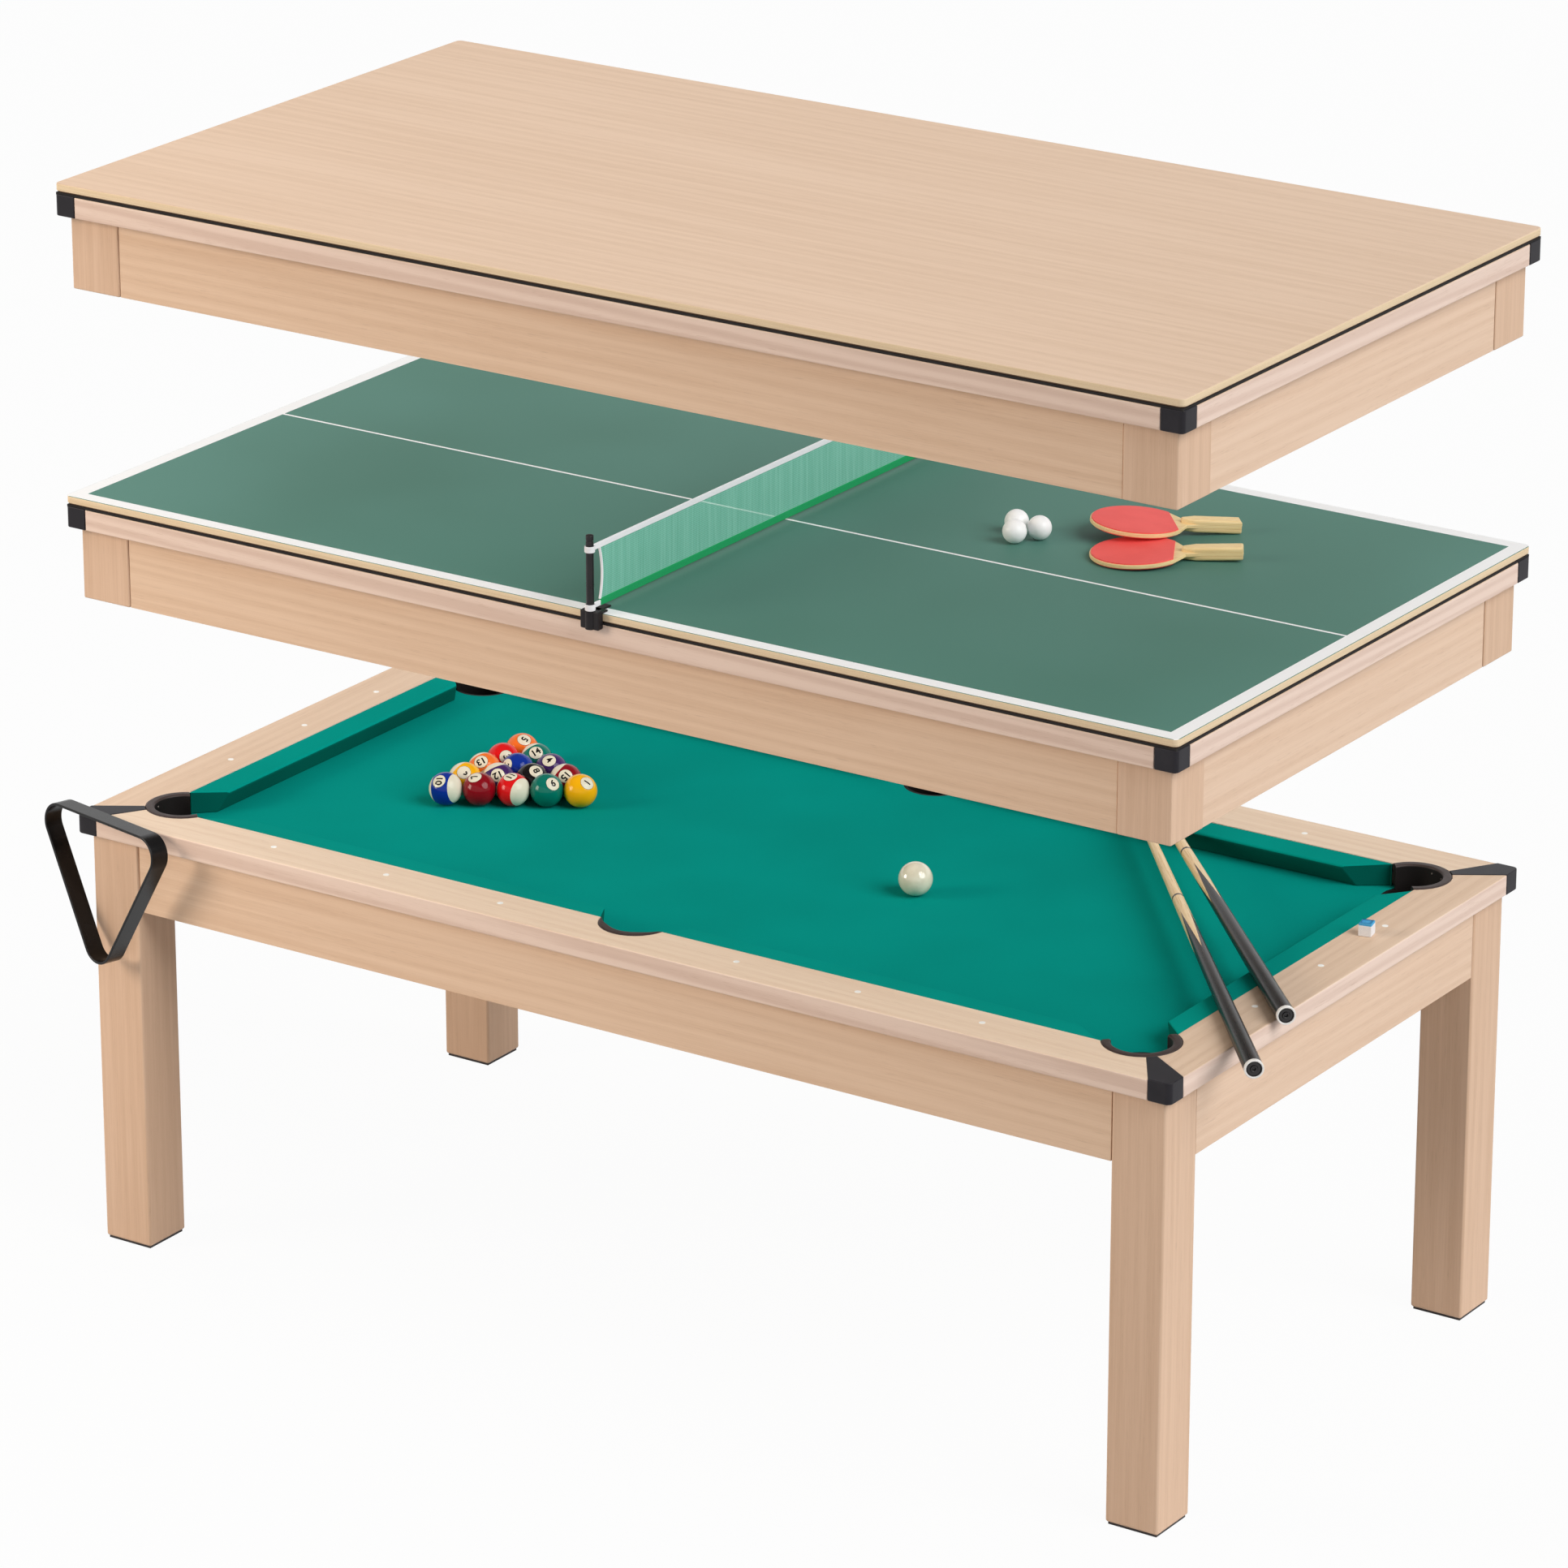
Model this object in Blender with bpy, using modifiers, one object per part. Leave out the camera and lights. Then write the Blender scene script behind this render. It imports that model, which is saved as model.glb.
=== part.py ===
"""Multi game table: a pool table, and above it a tennis tier and a dining tier that set down on it.

X runs along the table, Y across it and Z up, in metres. The origin is on the floor under the table's
centre, and -Y is the near long side.
"""

import math

import bmesh
import bpy
from mathutils import Matrix, Vector

# Clearance between pieces that touch, how far a cutter runs past what it cuts, and where points weld
GAP = 0.0003
OVERRUN = 0.01
WELD = 0.00003

# Where shading breaks, and where an edge is rounded
SMOOTH_ANGLE = math.radians(35)
ROUNDED_ANGLE = math.radians(50)

# Table
TABLE_LENGTH = 2.13
TABLE_WIDTH = 1.1115
TABLE_HEIGHT = 0.777

# Rails and corner caps
RAIL_WIDTH = 0.095
RAIL_THICKNESS = 0.035
CAP_REACH = 0.040
CAP_SEAM_ALONG = 0.092
CAP_SEAM_IN = 0.081
CAP_RISE = 0.001
CAP_ROUNDING = 0.010
CAP_ARC_STEPS = 5

# Legs, their plates and the aprons between them
LEG_SIDE = 0.096
LEG_INSET = 0.018
LEG_ROUNDING = 0.003
FOOT_THICKNESS = 0.004
FOOT_INSET = 0.004
APRON_HEIGHT = 0.125
APRON_THICKNESS = 0.018
APRON_RECESS = 0.002

# Playfield, in three sections that meet over the beams that carry them
CLOTH_DROP = 0.040
BED_THICKNESS = 0.020
BEAM_WIDTH = 0.045
BEAM_HEIGHT = 0.060
BEAM_SPACING = 0.90

# Pockets
CORNER_SETBACK = 0.127
CORNER_RIM_RADIUS = 0.064
CORNER_MOUTH_RADIUS = 0.048
SIDE_SETBACK = 0.107
SIDE_RIM_RADIUS = 0.061
SIDE_MOUTH_RADIUS = 0.050
SIDE_TIP_WIDTH = 0.0015
RIM_RISE = 0.0015
RIM_ROUNDING = 0.002
CUP_WALL = 0.006
CUP_FLOOR = 0.004
CUP_DEPTH = 0.085
POCKET_STEPS = 32

# Cushions
CUSHION_WIDTH = 0.047
CUSHION_TOP_DROP = 0.0005
NOSE_HEIGHT = 0.0365
NOSE_THICKNESS = 0.006
NOSE_ROUNDING = 0.0025
CUSHION_UNDERCUT = 0.014
CUSHION_END_CLEARANCE = 0.002
LONG_CORNER_SLANT = 0.067
END_CORNER_SLANT = 0.046
SIDE_SLANT = 0.024

# Lift-off tiers: a board on a shallow frame of rails, aprons and corner posts
DINING_BOARD_TOP = 1.867
TENNIS_BOARD_TOP = 1.335
BOARD_THICKNESS = 0.015
BOARD_CORNER_RADIUS = 0.010
BOARD_ARC_STEPS = 4
SHADOW_GAP = 0.004
SHADOW_INSET = 0.010

# Tennis net, its posts and its clamps
NET_HEIGHT = 0.106
NET_LIFT_OFF = 0.006
NET_TAPE_HEIGHT = 0.010
NET_BAND_HEIGHT = 0.012
NET_TAPE_THICKNESS = 0.003
NET_THICKNESS = 0.0016
NET_STRAND = 0.0022
NET_SIDE_SETBACK = 0.016
NET_COLUMN_PITCH = 0.0341
NET_ROW_PITCH = 0.021
NET_LOOP_WALL = 0.002
POST_RADIUS = 0.0063
POST_HEIGHT = 0.130
POST_STEPS = 16
CLAMP_WIDTH = 0.035
CLAMP_DEPTH = 0.020
CLAMP_RISE = 0.005
CLAMP_DROP = 0.025
CLAMP_PLATE_REACH = 0.036
CLAMP_PLATE_THICKNESS = 0.003
CLAMP_JAW_REACH = 0.009
CLAMP_JAW_THICKNESS = 0.003
CLAMP_ROUNDING = 0.002

# Bats: where the blade's tip lies, and which way the handle points
BAT_LENGTH = 0.247
BAT_HEAD_WIDTH = 0.148
BAT_HEAD_LENGTH = 0.155
BAT_BLADE_THICKNESS = 0.010
BAT_HANDLE_WIDTH = 0.027
BAT_HANDLE_THICKNESS = 0.022
BAT_HANDLE_LENGTH = 0.098
BAT_HANDLE_ROUNDING = 0.005
BAT_ARC_STEPS = 20
NEAR_BAT_TIP = (0.503, 0.110)
NEAR_BAT_TURN = math.radians(28.6)
FAR_BAT_TIP = (0.456, 0.190)
FAR_BAT_TURN = math.radians(41.0)
FAR_BAT_TILT = math.radians(4.4)

# Balls
TENNIS_BALL_RADIUS = 0.020
TENNIS_BALL_PLACES = ((0.343, 0.146), (0.367, 0.101), (0.391, 0.139))
POOL_BALL_RADIUS = 0.028575
CUE_BALL_PLACE = (0.253, -0.010)
RACK_ROW_START = (-0.638, -0.095)
RACK_TURN = math.radians(31.2)
RACKED_ROWS = 5
RACKED_NECK_RADIUS = 0.004
RACKED_NECK_LENGTH = 0.012
RACKED_NECK_STEPS = 8
BALL_SEGMENTS = 14
BALL_RINGS = 8

# Cues: how far the butt's end lies beyond the right end and in from the near side, and which way the
# tip points
CUE_LENGTH = 1.17
CUE_BUTT_RADIUS = 0.0155
CUE_TIP_RADIUS = 0.0065
CUE_ROUNDING = 0.003
CUE_STEPS = 16
CUE_1_BUTT = (0.093, 0.09275)
CUE_1_TURN = math.radians(129.9)
CUE_2_BUTT = (0.025, 0.30775)
CUE_2_TURN = math.radians(132.9)

# Triangle rack, hung over the near left corner: its bar's middle is set in from the left end, and lies
# just outside the near side
RACK_SIDE = 0.335
RACK_CORNER_RADIUS = 0.035
RACK_WALL = 0.0045
RACK_DEPTH = 0.034
RACK_ARC_STEPS = 8
RACK_BAR_SETBACK = 0.068
RACK_BAR_OVERHANG = 0.006
RACK_BAR_TURN = math.radians(-12.0)
RACK_LEAN = math.radians(3.0)

# Chalk, set in from the right end and off the middle
CHALK_SIDE = 0.022
CHALK_ROUNDING = 0.0015
CHALK_SETBACK = 0.061
CHALK_OFFSET = 0.157
CHALK_TURN = math.radians(12.0)

# Sizes that follow
HALF_LENGTH = TABLE_LENGTH / 2
HALF_WIDTH = TABLE_WIDTH / 2
RAIL_BOTTOM = TABLE_HEIGHT - RAIL_THICKNESS
LEG_INNER = LEG_INSET + LEG_SIDE
APRON_OUTER = LEG_INSET + APRON_RECESS
APRON_INNER = APRON_OUTER + APRON_THICKNESS
CLOTH_TOP = TABLE_HEIGHT - CLOTH_DROP
CUP_BOTTOM = CLOTH_TOP - CUP_DEPTH
TIER_DEPTH = BOARD_THICKNESS + GAP + SHADOW_GAP

# Sides of the table: a name, and the signs of X and Y at each corner
CORNERS = {
    "near_left": (-1, -1),
    "near_right": (1, -1),
    "far_left": (-1, 1),
    "far_right": (1, 1),
}
LONG_SIDES = {"near": -1, "far": 1}
ENDS = {"left": -1, "right": 1}


def clear_scene():
    """Remove what the start-up file holds, and make the two collections."""
    for thing in list(bpy.data.objects):
        bpy.data.objects.remove(thing, do_unlink=True)
    for name in ("multi_game_table", "cutters"):
        bpy.context.scene.collection.children.link(bpy.data.collections.new(name))


def finish(name, colour, roughness, metallic=0.0):
    """A Principled material, made once for each name."""
    material = bpy.data.materials.get(name)
    if material is None:
        material = bpy.data.materials.new(name)
        material.use_nodes = True
        shader = material.node_tree.nodes["Principled BSDF"]
        shader.inputs["Base Color"].default_value = (*colour, 1.0)
        shader.inputs["Roughness"].default_value = roughness
        shader.inputs["Metallic"].default_value = metallic
    return material


def wood(name):
    """Pale ash laminate."""
    return finish(name + "_ash", (0.66, 0.46, 0.34), 0.55)


def black_plastic(name):
    """Moulded black plastic."""
    return finish(name + "_black", (0.03, 0.028, 0.03), 0.35)


def cloth(name):
    """Teal green playing cloth."""
    return finish(name + "_cloth", (0.0, 0.26, 0.21), 0.95)


def add_object(name, data, material):
    """Put a mesh or a curve into the part's collection as one named piece."""
    piece = bpy.data.objects.new(name, data)
    bpy.data.collections["multi_game_table"].objects.link(piece)
    if material is not None:
        data.materials.clear()
        data.materials.append(material)
    return piece


def as_cutter(piece):
    """Turn a piece into a hidden cutter."""
    bpy.data.collections["multi_game_table"].objects.unlink(piece)
    bpy.data.collections["cutters"].objects.link(piece)
    piece.hide_render = True
    piece.display_type = "WIRE"
    return piece


def mesh_from(bm, name, smooth=False):
    """Write a bmesh into a new mesh with its faces pointing out."""
    bmesh.ops.recalc_face_normals(bm, faces=bm.faces)
    mesh = bpy.data.meshes.new(name)
    bm.to_mesh(mesh)
    bm.free()
    if smooth:
        mesh.shade_smooth()
        mesh.set_sharp_from_angle(angle=SMOOTH_ANGLE)
    return mesh


def rounded(piece, width, segments=1):
    """Round a piece's sharp edges."""
    bevel = piece.modifiers.new("rounding", "BEVEL")
    bevel.width = width
    bevel.segments = segments
    bevel.limit_method = "ANGLE"
    bevel.angle_limit = ROUNDED_ANGLE
    return piece


def box(name, low, high, material=None):
    """A block between two corners, with its origin at its middle."""
    low, high = Vector(low), Vector(high)
    bm = bmesh.new()
    bmesh.ops.create_cube(bm, size=1)
    bmesh.ops.scale(bm, vec=high - low, verts=bm.verts)
    piece = add_object(name, mesh_from(bm, name), material)
    piece.location = (low + high) / 2
    return piece


def cylinder(name, radius, low, high, steps, centre=(0, 0), material=None):
    """An upright cylinder from one height to another."""
    bm = bmesh.new()
    bmesh.ops.create_cone(
        bm, cap_ends=True, segments=steps, radius1=radius, radius2=radius, depth=high - low
    )
    piece = add_object(name, mesh_from(bm, name, smooth=True), material)
    piece.location = (*centre, (low + high) / 2)
    return piece


def ball(name, radius, centre, material, segments=BALL_SEGMENTS, rings=BALL_RINGS):
    """A sphere."""
    bm = bmesh.new()
    bmesh.ops.create_uvsphere(bm, u_segments=segments, v_segments=rings, radius=radius)
    piece = add_object(name, mesh_from(bm, name, smooth=True), material)
    piece.location = centre
    return piece


def arc(centre, radius, start, end, steps):
    """Points along an arc, both ends included."""
    turns = (start + (end - start) * step / steps for step in range(steps + 1))
    return [(centre[0] + radius * math.cos(a), centre[1] + radius * math.sin(a)) for a in turns]


def sheet(name, outlines, thickness, material=None):
    """A flat outline, with any holes, as a mesh of one thickness about its own middle plane."""
    curve = bpy.data.curves.new(name, "CURVE")
    curve.dimensions = "2D"
    curve.fill_mode = "BOTH"
    curve.extrude = thickness / 2
    for outline in outlines:
        spline = curve.splines.new("POLY")
        spline.points.add(len(outline) - 1)
        for point, (x, y) in zip(spline.points, outline):
            point.co = (x, y, 0, 1)
        spline.use_cyclic_u = True
    holder = add_object(name + "_outline", curve, None)
    bpy.context.view_layer.update()
    seen = holder.evaluated_get(bpy.context.evaluated_depsgraph_get())
    mesh = bpy.data.meshes.new_from_object(seen)
    bpy.data.objects.remove(holder, do_unlink=True)
    bm = bmesh.new()
    bm.from_mesh(mesh)
    bpy.data.meshes.remove(mesh)
    bmesh.ops.remove_doubles(bm, verts=bm.verts, dist=WELD)
    return add_object(name, mesh_from(bm, name), material)


def lattice(name, across, up, thickness, material=None):
    """Strands about their own middle plane, with an opening in every second cell both ways between the lines."""
    bm = bmesh.new()
    points = [[bm.verts.new((x, y, -thickness / 2)) for x in across] for y in up]
    for row, (below, above) in enumerate(zip(points, points[1:])):
        for column in range(len(across) - 1):
            if row % 2 == 0 or column % 2 == 0:
                bm.faces.new((below[column], below[column + 1], above[column + 1], above[column]))
    raised = bmesh.ops.extrude_face_region(bm, geom=bm.faces[:])["geom"]
    verts = [item for item in raised if isinstance(item, bmesh.types.BMVert)]
    bmesh.ops.translate(bm, verts=verts, vec=(0, 0, thickness))
    bmesh.ops.recalc_face_normals(bm, faces=bm.faces)
    return add_object(name, mesh_from(bm, name), material)


def slab(name, outlines, low, high, material=None):
    """A flat outline raised from one height to another."""
    piece = sheet(name, outlines, high - low, material)
    piece.location.z = (low + high) / 2
    return piece


def turned(name, profile, steps, material=None):
    """A shape turned about Z from a profile of radius and height, which runs down its outer side."""
    bm = bmesh.new()
    points = [bm.verts.new((radius, 0, height)) for radius, height in profile]
    for first, second in zip(points, points[1:]):
        bm.edges.new((first, second))
    mesh = bpy.data.meshes.new(name)
    bm.to_mesh(mesh)
    bm.free()
    piece = add_object(name, mesh, material)
    screw = piece.modifiers.new("turning", "SCREW")
    screw.steps = steps
    screw.render_steps = steps
    screw.use_merge_vertices = True
    screw.merge_threshold = WELD
    screw.use_smooth_shade = True
    return piece


def carve(piece, tool, operation="DIFFERENCE", self_crossing=False):
    """Cut a piece with a tool, or join the tool to it."""
    boolean = piece.modifiers.new(tool.name, "BOOLEAN")
    boolean.operation = operation
    boolean.object = as_cutter(tool)
    boolean.use_self = self_crossing
    return piece


def join(piece, tool, self_crossing=False):
    """Join a tool to a piece as one body."""
    return carve(piece, tool, "UNION", self_crossing)


def all_round(corner):
    """An outline about the origin from the points of its far right corner, listed anticlockwise."""
    points = []
    for sx, sy in ((1, 1), (-1, 1), (-1, -1), (1, -1)):
        turned_corner = [(sx * x, sy * y) for x, y in corner]
        points += turned_corner if sx * sy > 0 else reversed(turned_corner)
    return points


def rectangle(half_x, half_y):
    """The four corners of a rectangle about the origin."""
    return [(-half_x, -half_y), (half_x, -half_y), (half_x, half_y), (-half_x, half_y)]


def rounded_rectangle(half_x, half_y, radius, steps):
    """A rectangle about the origin with round corners."""
    points = []
    for quarter, (sx, sy) in enumerate(((1, 1), (-1, 1), (-1, -1), (1, -1))):
        centre = (sx * (half_x - radius), sy * (half_y - radius))
        start = quarter * math.pi / 2
        points += arc(centre, radius, start, start + math.pi / 2, steps)
    return points


def mirrored(points, sx, sy):
    """Points given from the near left corner, moved to another corner of the table."""
    return [(sx * (HALF_LENGTH - x), sy * (HALF_WIDTH - y)) for x, y in points]


def corner_pocket_centre(sx, sy):
    """Where a corner pocket stands."""
    return mirrored([(CORNER_SETBACK, CORNER_SETBACK)], sx, sy)[0]


def side_pocket_centre(sy):
    """Where a side pocket stands."""
    return (0, sy * (HALF_WIDTH - SIDE_SETBACK))


def rim_cutter(name, centre, radius):
    """What a pocket's rim takes out of the wood around it."""
    return cylinder(
        name, radius + GAP, RAIL_BOTTOM - OVERRUN, TABLE_HEIGHT + OVERRUN, POCKET_STEPS, centre
    )


def cup_cutter(name, centre, mouth_radius):
    """What a pocket's cup takes out of the bed and the leg around it."""
    low, high = CUP_BOTTOM - GAP, RAIL_BOTTOM + OVERRUN
    return cylinder(name, mouth_radius + CUP_WALL + GAP, low, high, POCKET_STEPS, centre)


def legs():
    """Four square posts, each notched for its corner pocket, on a thin plate."""
    for corner, (sx, sy) in CORNERS.items():
        (x0, y0), (x1, y1) = mirrored([(LEG_INSET,) * 2, (LEG_INNER,) * 2], sx, sy)
        low = (min(x0, x1), min(y0, y1), FOOT_THICKNESS + GAP)
        high = (max(x0, x1), max(y0, y1), RAIL_BOTTOM - GAP)
        leg = rounded(box("leg_" + corner, low, high, wood("leg")), LEG_ROUNDING)
        carve(leg, cup_cutter(f"leg_{corner}_notch", corner_pocket_centre(sx, sy), CORNER_MOUTH_RADIUS))
        inset = Vector((FOOT_INSET, FOOT_INSET, 0))
        foot_low, foot_high = Vector(low) + inset, Vector(high) - inset
        foot_low.z, foot_high.z = 0, FOOT_THICKNESS
        box("foot_" + corner, foot_low, foot_high, finish("foot_dark", (0.05, 0.045, 0.05), 0.6))


def aprons():
    """Boards on edge between the legs."""
    low, high = RAIL_BOTTOM - APRON_HEIGHT, RAIL_BOTTOM - GAP
    along = HALF_LENGTH - LEG_INNER - GAP
    across = HALF_WIDTH - LEG_INNER - GAP
    for side, sy in LONG_SIDES.items():
        faces = sorted(sy * (HALF_WIDTH - depth) for depth in (APRON_OUTER, APRON_INNER))
        box("apron_" + side, (-along, faces[0], low), (along, faces[1], high), wood("apron"))
    for end, sx in ENDS.items():
        faces = sorted(sx * (HALF_LENGTH - depth) for depth in (APRON_OUTER, APRON_INNER))
        box("apron_" + end, (faces[0], -across, low), (faces[1], across, high), wood("apron"))


def rail_outline(length):
    """A rail along its own outer face, from one cap's seam to the other's."""
    half = length / 2
    side = [(half - CAP_REACH, 0), (half - CAP_SEAM_ALONG, CAP_SEAM_IN)]
    side.append((half - CORNER_SETBACK, RAIL_WIDTH))
    return side + [(-x, y) for x, y in reversed(side)]


def rails():
    """Wooden rails, cut out round the rims of the pockets."""
    for side, sy in LONG_SIDES.items():
        outline = [(x, sy * (HALF_WIDTH - y)) for x, y in rail_outline(TABLE_LENGTH)]
        rail = slab("rail_" + side, [outline], RAIL_BOTTOM, TABLE_HEIGHT, wood("rail"))
        for sx in (-1, 1):
            cutter = f"rail_{side}_corner_{'left' if sx < 0 else 'right'}"
            carve(rail, rim_cutter(cutter, corner_pocket_centre(sx, sy), CORNER_RIM_RADIUS))
        carve(rail, rim_cutter(f"rail_{side}_middle", side_pocket_centre(sy), SIDE_RIM_RADIUS))
    for end, sx in ENDS.items():
        outline = [(sx * (HALF_LENGTH - y), x) for x, y in rail_outline(TABLE_WIDTH)]
        rail = slab("rail_" + end, [outline], RAIL_BOTTOM, TABLE_HEIGHT, wood("rail"))
        for sy in (-1, 1):
            cutter = f"rail_{end}_corner_{'near' if sy < 0 else 'far'}"
            carve(rail, rim_cutter(cutter, corner_pocket_centre(sx, sy), CORNER_RIM_RADIUS))


def corner_caps():
    """Plastic corner pieces between the rails, from the outer corner to the pocket's rim."""
    start, seam = CAP_REACH - GAP, CAP_SEAM_ALONG - GAP
    outline = arc((CAP_ROUNDING,) * 2, CAP_ROUNDING, math.pi, 1.5 * math.pi, CAP_ARC_STEPS)
    outline += [(start, 0), (seam, CAP_SEAM_IN), (CAP_SEAM_IN, seam), (0, start)]
    for corner, (sx, sy) in CORNERS.items():
        points = [mirrored(outline, sx, sy)]
        top = TABLE_HEIGHT + CAP_RISE
        cap = slab("corner_cap_" + corner, points, RAIL_BOTTOM, top, black_plastic("cap"))
        centre = corner_pocket_centre(sx, sy)
        carve(cap, rim_cutter(f"corner_cap_{corner}_rim", centre, CORNER_RIM_RADIUS))


def pocket_profile(rim_radius, mouth_radius):
    """A pocket from the middle of its floor, up its inner wall, over the rim and down outside."""
    top = TABLE_HEIGHT + RIM_RISE
    cup_radius = mouth_radius + CUP_WALL
    return [
        (0, CUP_BOTTOM + CUP_FLOOR),
        (mouth_radius, CUP_BOTTOM + CUP_FLOOR),
        (mouth_radius, top - RIM_ROUNDING),
        (mouth_radius + RIM_ROUNDING, top),
        (rim_radius - RIM_ROUNDING, top),
        (rim_radius, top - RIM_ROUNDING),
        (rim_radius, RAIL_BOTTOM),
        (cup_radius, RAIL_BOTTOM),
        (cup_radius, CUP_BOTTOM),
        (0, CUP_BOTTOM),
    ]


def pockets():
    """Rimmed cups, open towards the field above the cloth."""
    high = TABLE_HEIGHT + RIM_RISE + OVERRUN
    leather = finish("pocket_dark", (0.045, 0.03, 0.028), 0.45)
    across = math.sqrt(CORNER_RIM_RADIUS**2 - (CORNER_SETBACK - RAIL_WIDTH) ** 2)
    opening = (across - (CORNER_SETBACK - RAIL_WIDTH)) / math.sqrt(2)
    wide = CORNER_RIM_RADIUS + OVERRUN
    for corner, (sx, sy) in CORNERS.items():
        name = "pocket_" + corner
        centre = Vector((*corner_pocket_centre(sx, sy), 0))
        pocket = turned(name, pocket_profile(CORNER_RIM_RADIUS, CORNER_MOUTH_RADIUS), POCKET_STEPS, leather)
        pocket.location = centre
        cutter = box(name + "_mouth", (opening, -wide, CLOTH_TOP), (opening + wide, wide, high))
        turn = Matrix.Rotation(math.atan2(-sy, -sx), 4, "Z")
        cutter.matrix_world = Matrix.Translation(centre) @ turn @ Matrix.Translation(cutter.location)
        carve(pocket, cutter)
    tip_drop = SIDE_SETBACK - RAIL_WIDTH
    tip_across = math.sqrt(SIDE_RIM_RADIUS**2 - tip_drop**2) - SIDE_TIP_WIDTH
    rise = SIDE_MOUTH_RADIUS - tip_drop
    flare_radius = (tip_across**2 + rise**2) / (2 * rise)
    for side, sy in LONG_SIDES.items():
        name = "pocket_" + side
        centre = Vector((*side_pocket_centre(sy), 0))
        pocket = turned(name, pocket_profile(SIDE_RIM_RADIUS, SIDE_MOUTH_RADIUS), POCKET_STEPS, leather)
        pocket.location = centre
        inward = sy * (SIDE_MOUTH_RADIUS - flare_radius)
        flare = (centre.x, centre.y + inward)
        carve(pocket, cylinder(name + "_mouth", flare_radius, CLOTH_TOP, high, POCKET_STEPS, flare))


def cushion(name, start, start_slant, end, end_slant):
    """A cushion along X with its back on Y = 0 and its nose at +Y, its ends slanted to the nose."""
    top = TABLE_HEIGHT - CUSHION_TOP_DROP
    nose = CLOTH_TOP + NOSE_HEIGHT
    profile = [
        (0, CLOTH_TOP + GAP),
        (CUSHION_WIDTH - CUSHION_UNDERCUT, CLOTH_TOP + GAP),
        (CUSHION_WIDTH, nose - NOSE_THICKNESS),
        (CUSHION_WIDTH, nose - NOSE_ROUNDING),
        (CUSHION_WIDTH - NOSE_ROUNDING, nose),
        (0, top),
    ]
    bm = bmesh.new()
    face = bm.faces.new([bm.verts.new((start, y, z)) for y, z in profile])
    run = bmesh.ops.extrude_face_region(bm, geom=[face])["geom"]
    far_end = [item for item in run if isinstance(item, bmesh.types.BMVert)]
    bmesh.ops.translate(bm, verts=far_end, vec=(end - start, 0, 0))
    far_end = set(far_end)
    for vert in bm.verts:
        share = vert.co.y / CUSHION_WIDTH
        vert.co.x += -end_slant * share if vert in far_end else start_slant * share
    return add_object(name, mesh_from(bm, name), cloth("cushion"))


def cushions():
    """Two cushions on each long side and one on each end."""
    rim_end = CORNER_SETBACK + math.sqrt(CORNER_RIM_RADIUS**2 - (CORNER_SETBACK - RAIL_WIDTH) ** 2)
    corner = rim_end + CUSHION_END_CLEARANCE
    rim_half = math.sqrt(SIDE_RIM_RADIUS**2 - (SIDE_SETBACK - RAIL_WIDTH) ** 2)
    middle = rim_half + CUSHION_END_CLEARANCE
    back = RAIL_WIDTH + GAP
    for side, sy in LONG_SIDES.items():
        turn = Matrix.Rotation(math.pi if sy > 0 else 0, 4, "Z")
        place = Matrix.Translation((0, sy * (HALF_WIDTH - back), 0)) @ turn
        for end, sx in ENDS.items():
            name = f"cushion_{side}_{end}"
            if sx * sy > 0:
                piece = cushion(name, corner - HALF_LENGTH, LONG_CORNER_SLANT, -middle, SIDE_SLANT)
            else:
                piece = cushion(name, middle, SIDE_SLANT, HALF_LENGTH - corner, LONG_CORNER_SLANT)
            piece.matrix_world = place
    for end, sx in ENDS.items():
        half = HALF_WIDTH - corner
        piece = cushion("cushion_" + end, -half, END_CORNER_SLANT, half, END_CORNER_SLANT)
        turn = Matrix.Rotation(sx * math.pi / 2, 4, "Z")
        piece.matrix_world = Matrix.Translation((sx * (HALF_LENGTH - back), 0, 0)) @ turn


def playfield():
    """The bed's three sections inside the aprons, clear of the legs and the cups, and the beams under them."""
    low, high = CLOTH_TOP - BED_THICKNESS, CLOTH_TOP
    half_x = HALF_LENGTH - APRON_INNER - GAP
    half_y = HALF_WIDTH - APRON_INNER - GAP
    notch_x = HALF_LENGTH - LEG_INNER - GAP
    notch_y = HALF_WIDTH - LEG_INNER - GAP
    joint = (BEAM_SPACING - GAP) / 2
    outline = rectangle(joint, half_y)
    bed = slab("playfield_middle", [outline], low, high, cloth("playfield"))
    for side, sy in LONG_SIDES.items():
        middle = side_pocket_centre(sy)
        carve(bed, cup_cutter("bed_hole_" + side, middle, SIDE_MOUTH_RADIUS))
        wide = SIDE_MOUTH_RADIUS + CUP_WALL + GAP
        ends = sorted((middle[1], sy * (half_y + OVERRUN)))
        slot_low, slot_high = (-wide, ends[0], low - OVERRUN), (wide, ends[1], high + OVERRUN)
        carve(bed, box("bed_slot_" + side, slot_low, slot_high))
    for end, sx in ENDS.items():
        quarter = [(joint + GAP, half_y), (notch_x, half_y), (notch_x, notch_y), (half_x, notch_y)]
        half = [(sx * x, y) for x, y in quarter]
        outline = half + [(x, -y) for x, y in reversed(half)]
        bed = slab("playfield_" + end, [outline], low, high, cloth("playfield"))
        for side, sy in LONG_SIDES.items():
            centre = corner_pocket_centre(sx, sy)
            carve(bed, cup_cutter(f"bed_hole_{side}_{end}", centre, CORNER_MOUTH_RADIUS))
    for end, sx in ENDS.items():
        middle = sx * BEAM_SPACING / 2
        beam_low = (middle - BEAM_WIDTH / 2, -half_y, low - GAP - BEAM_HEIGHT)
        beam_high = (middle + BEAM_WIDTH / 2, half_y, low - GAP)
        box("beam_" + end, beam_low, beam_high, wood("beam"))


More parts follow.
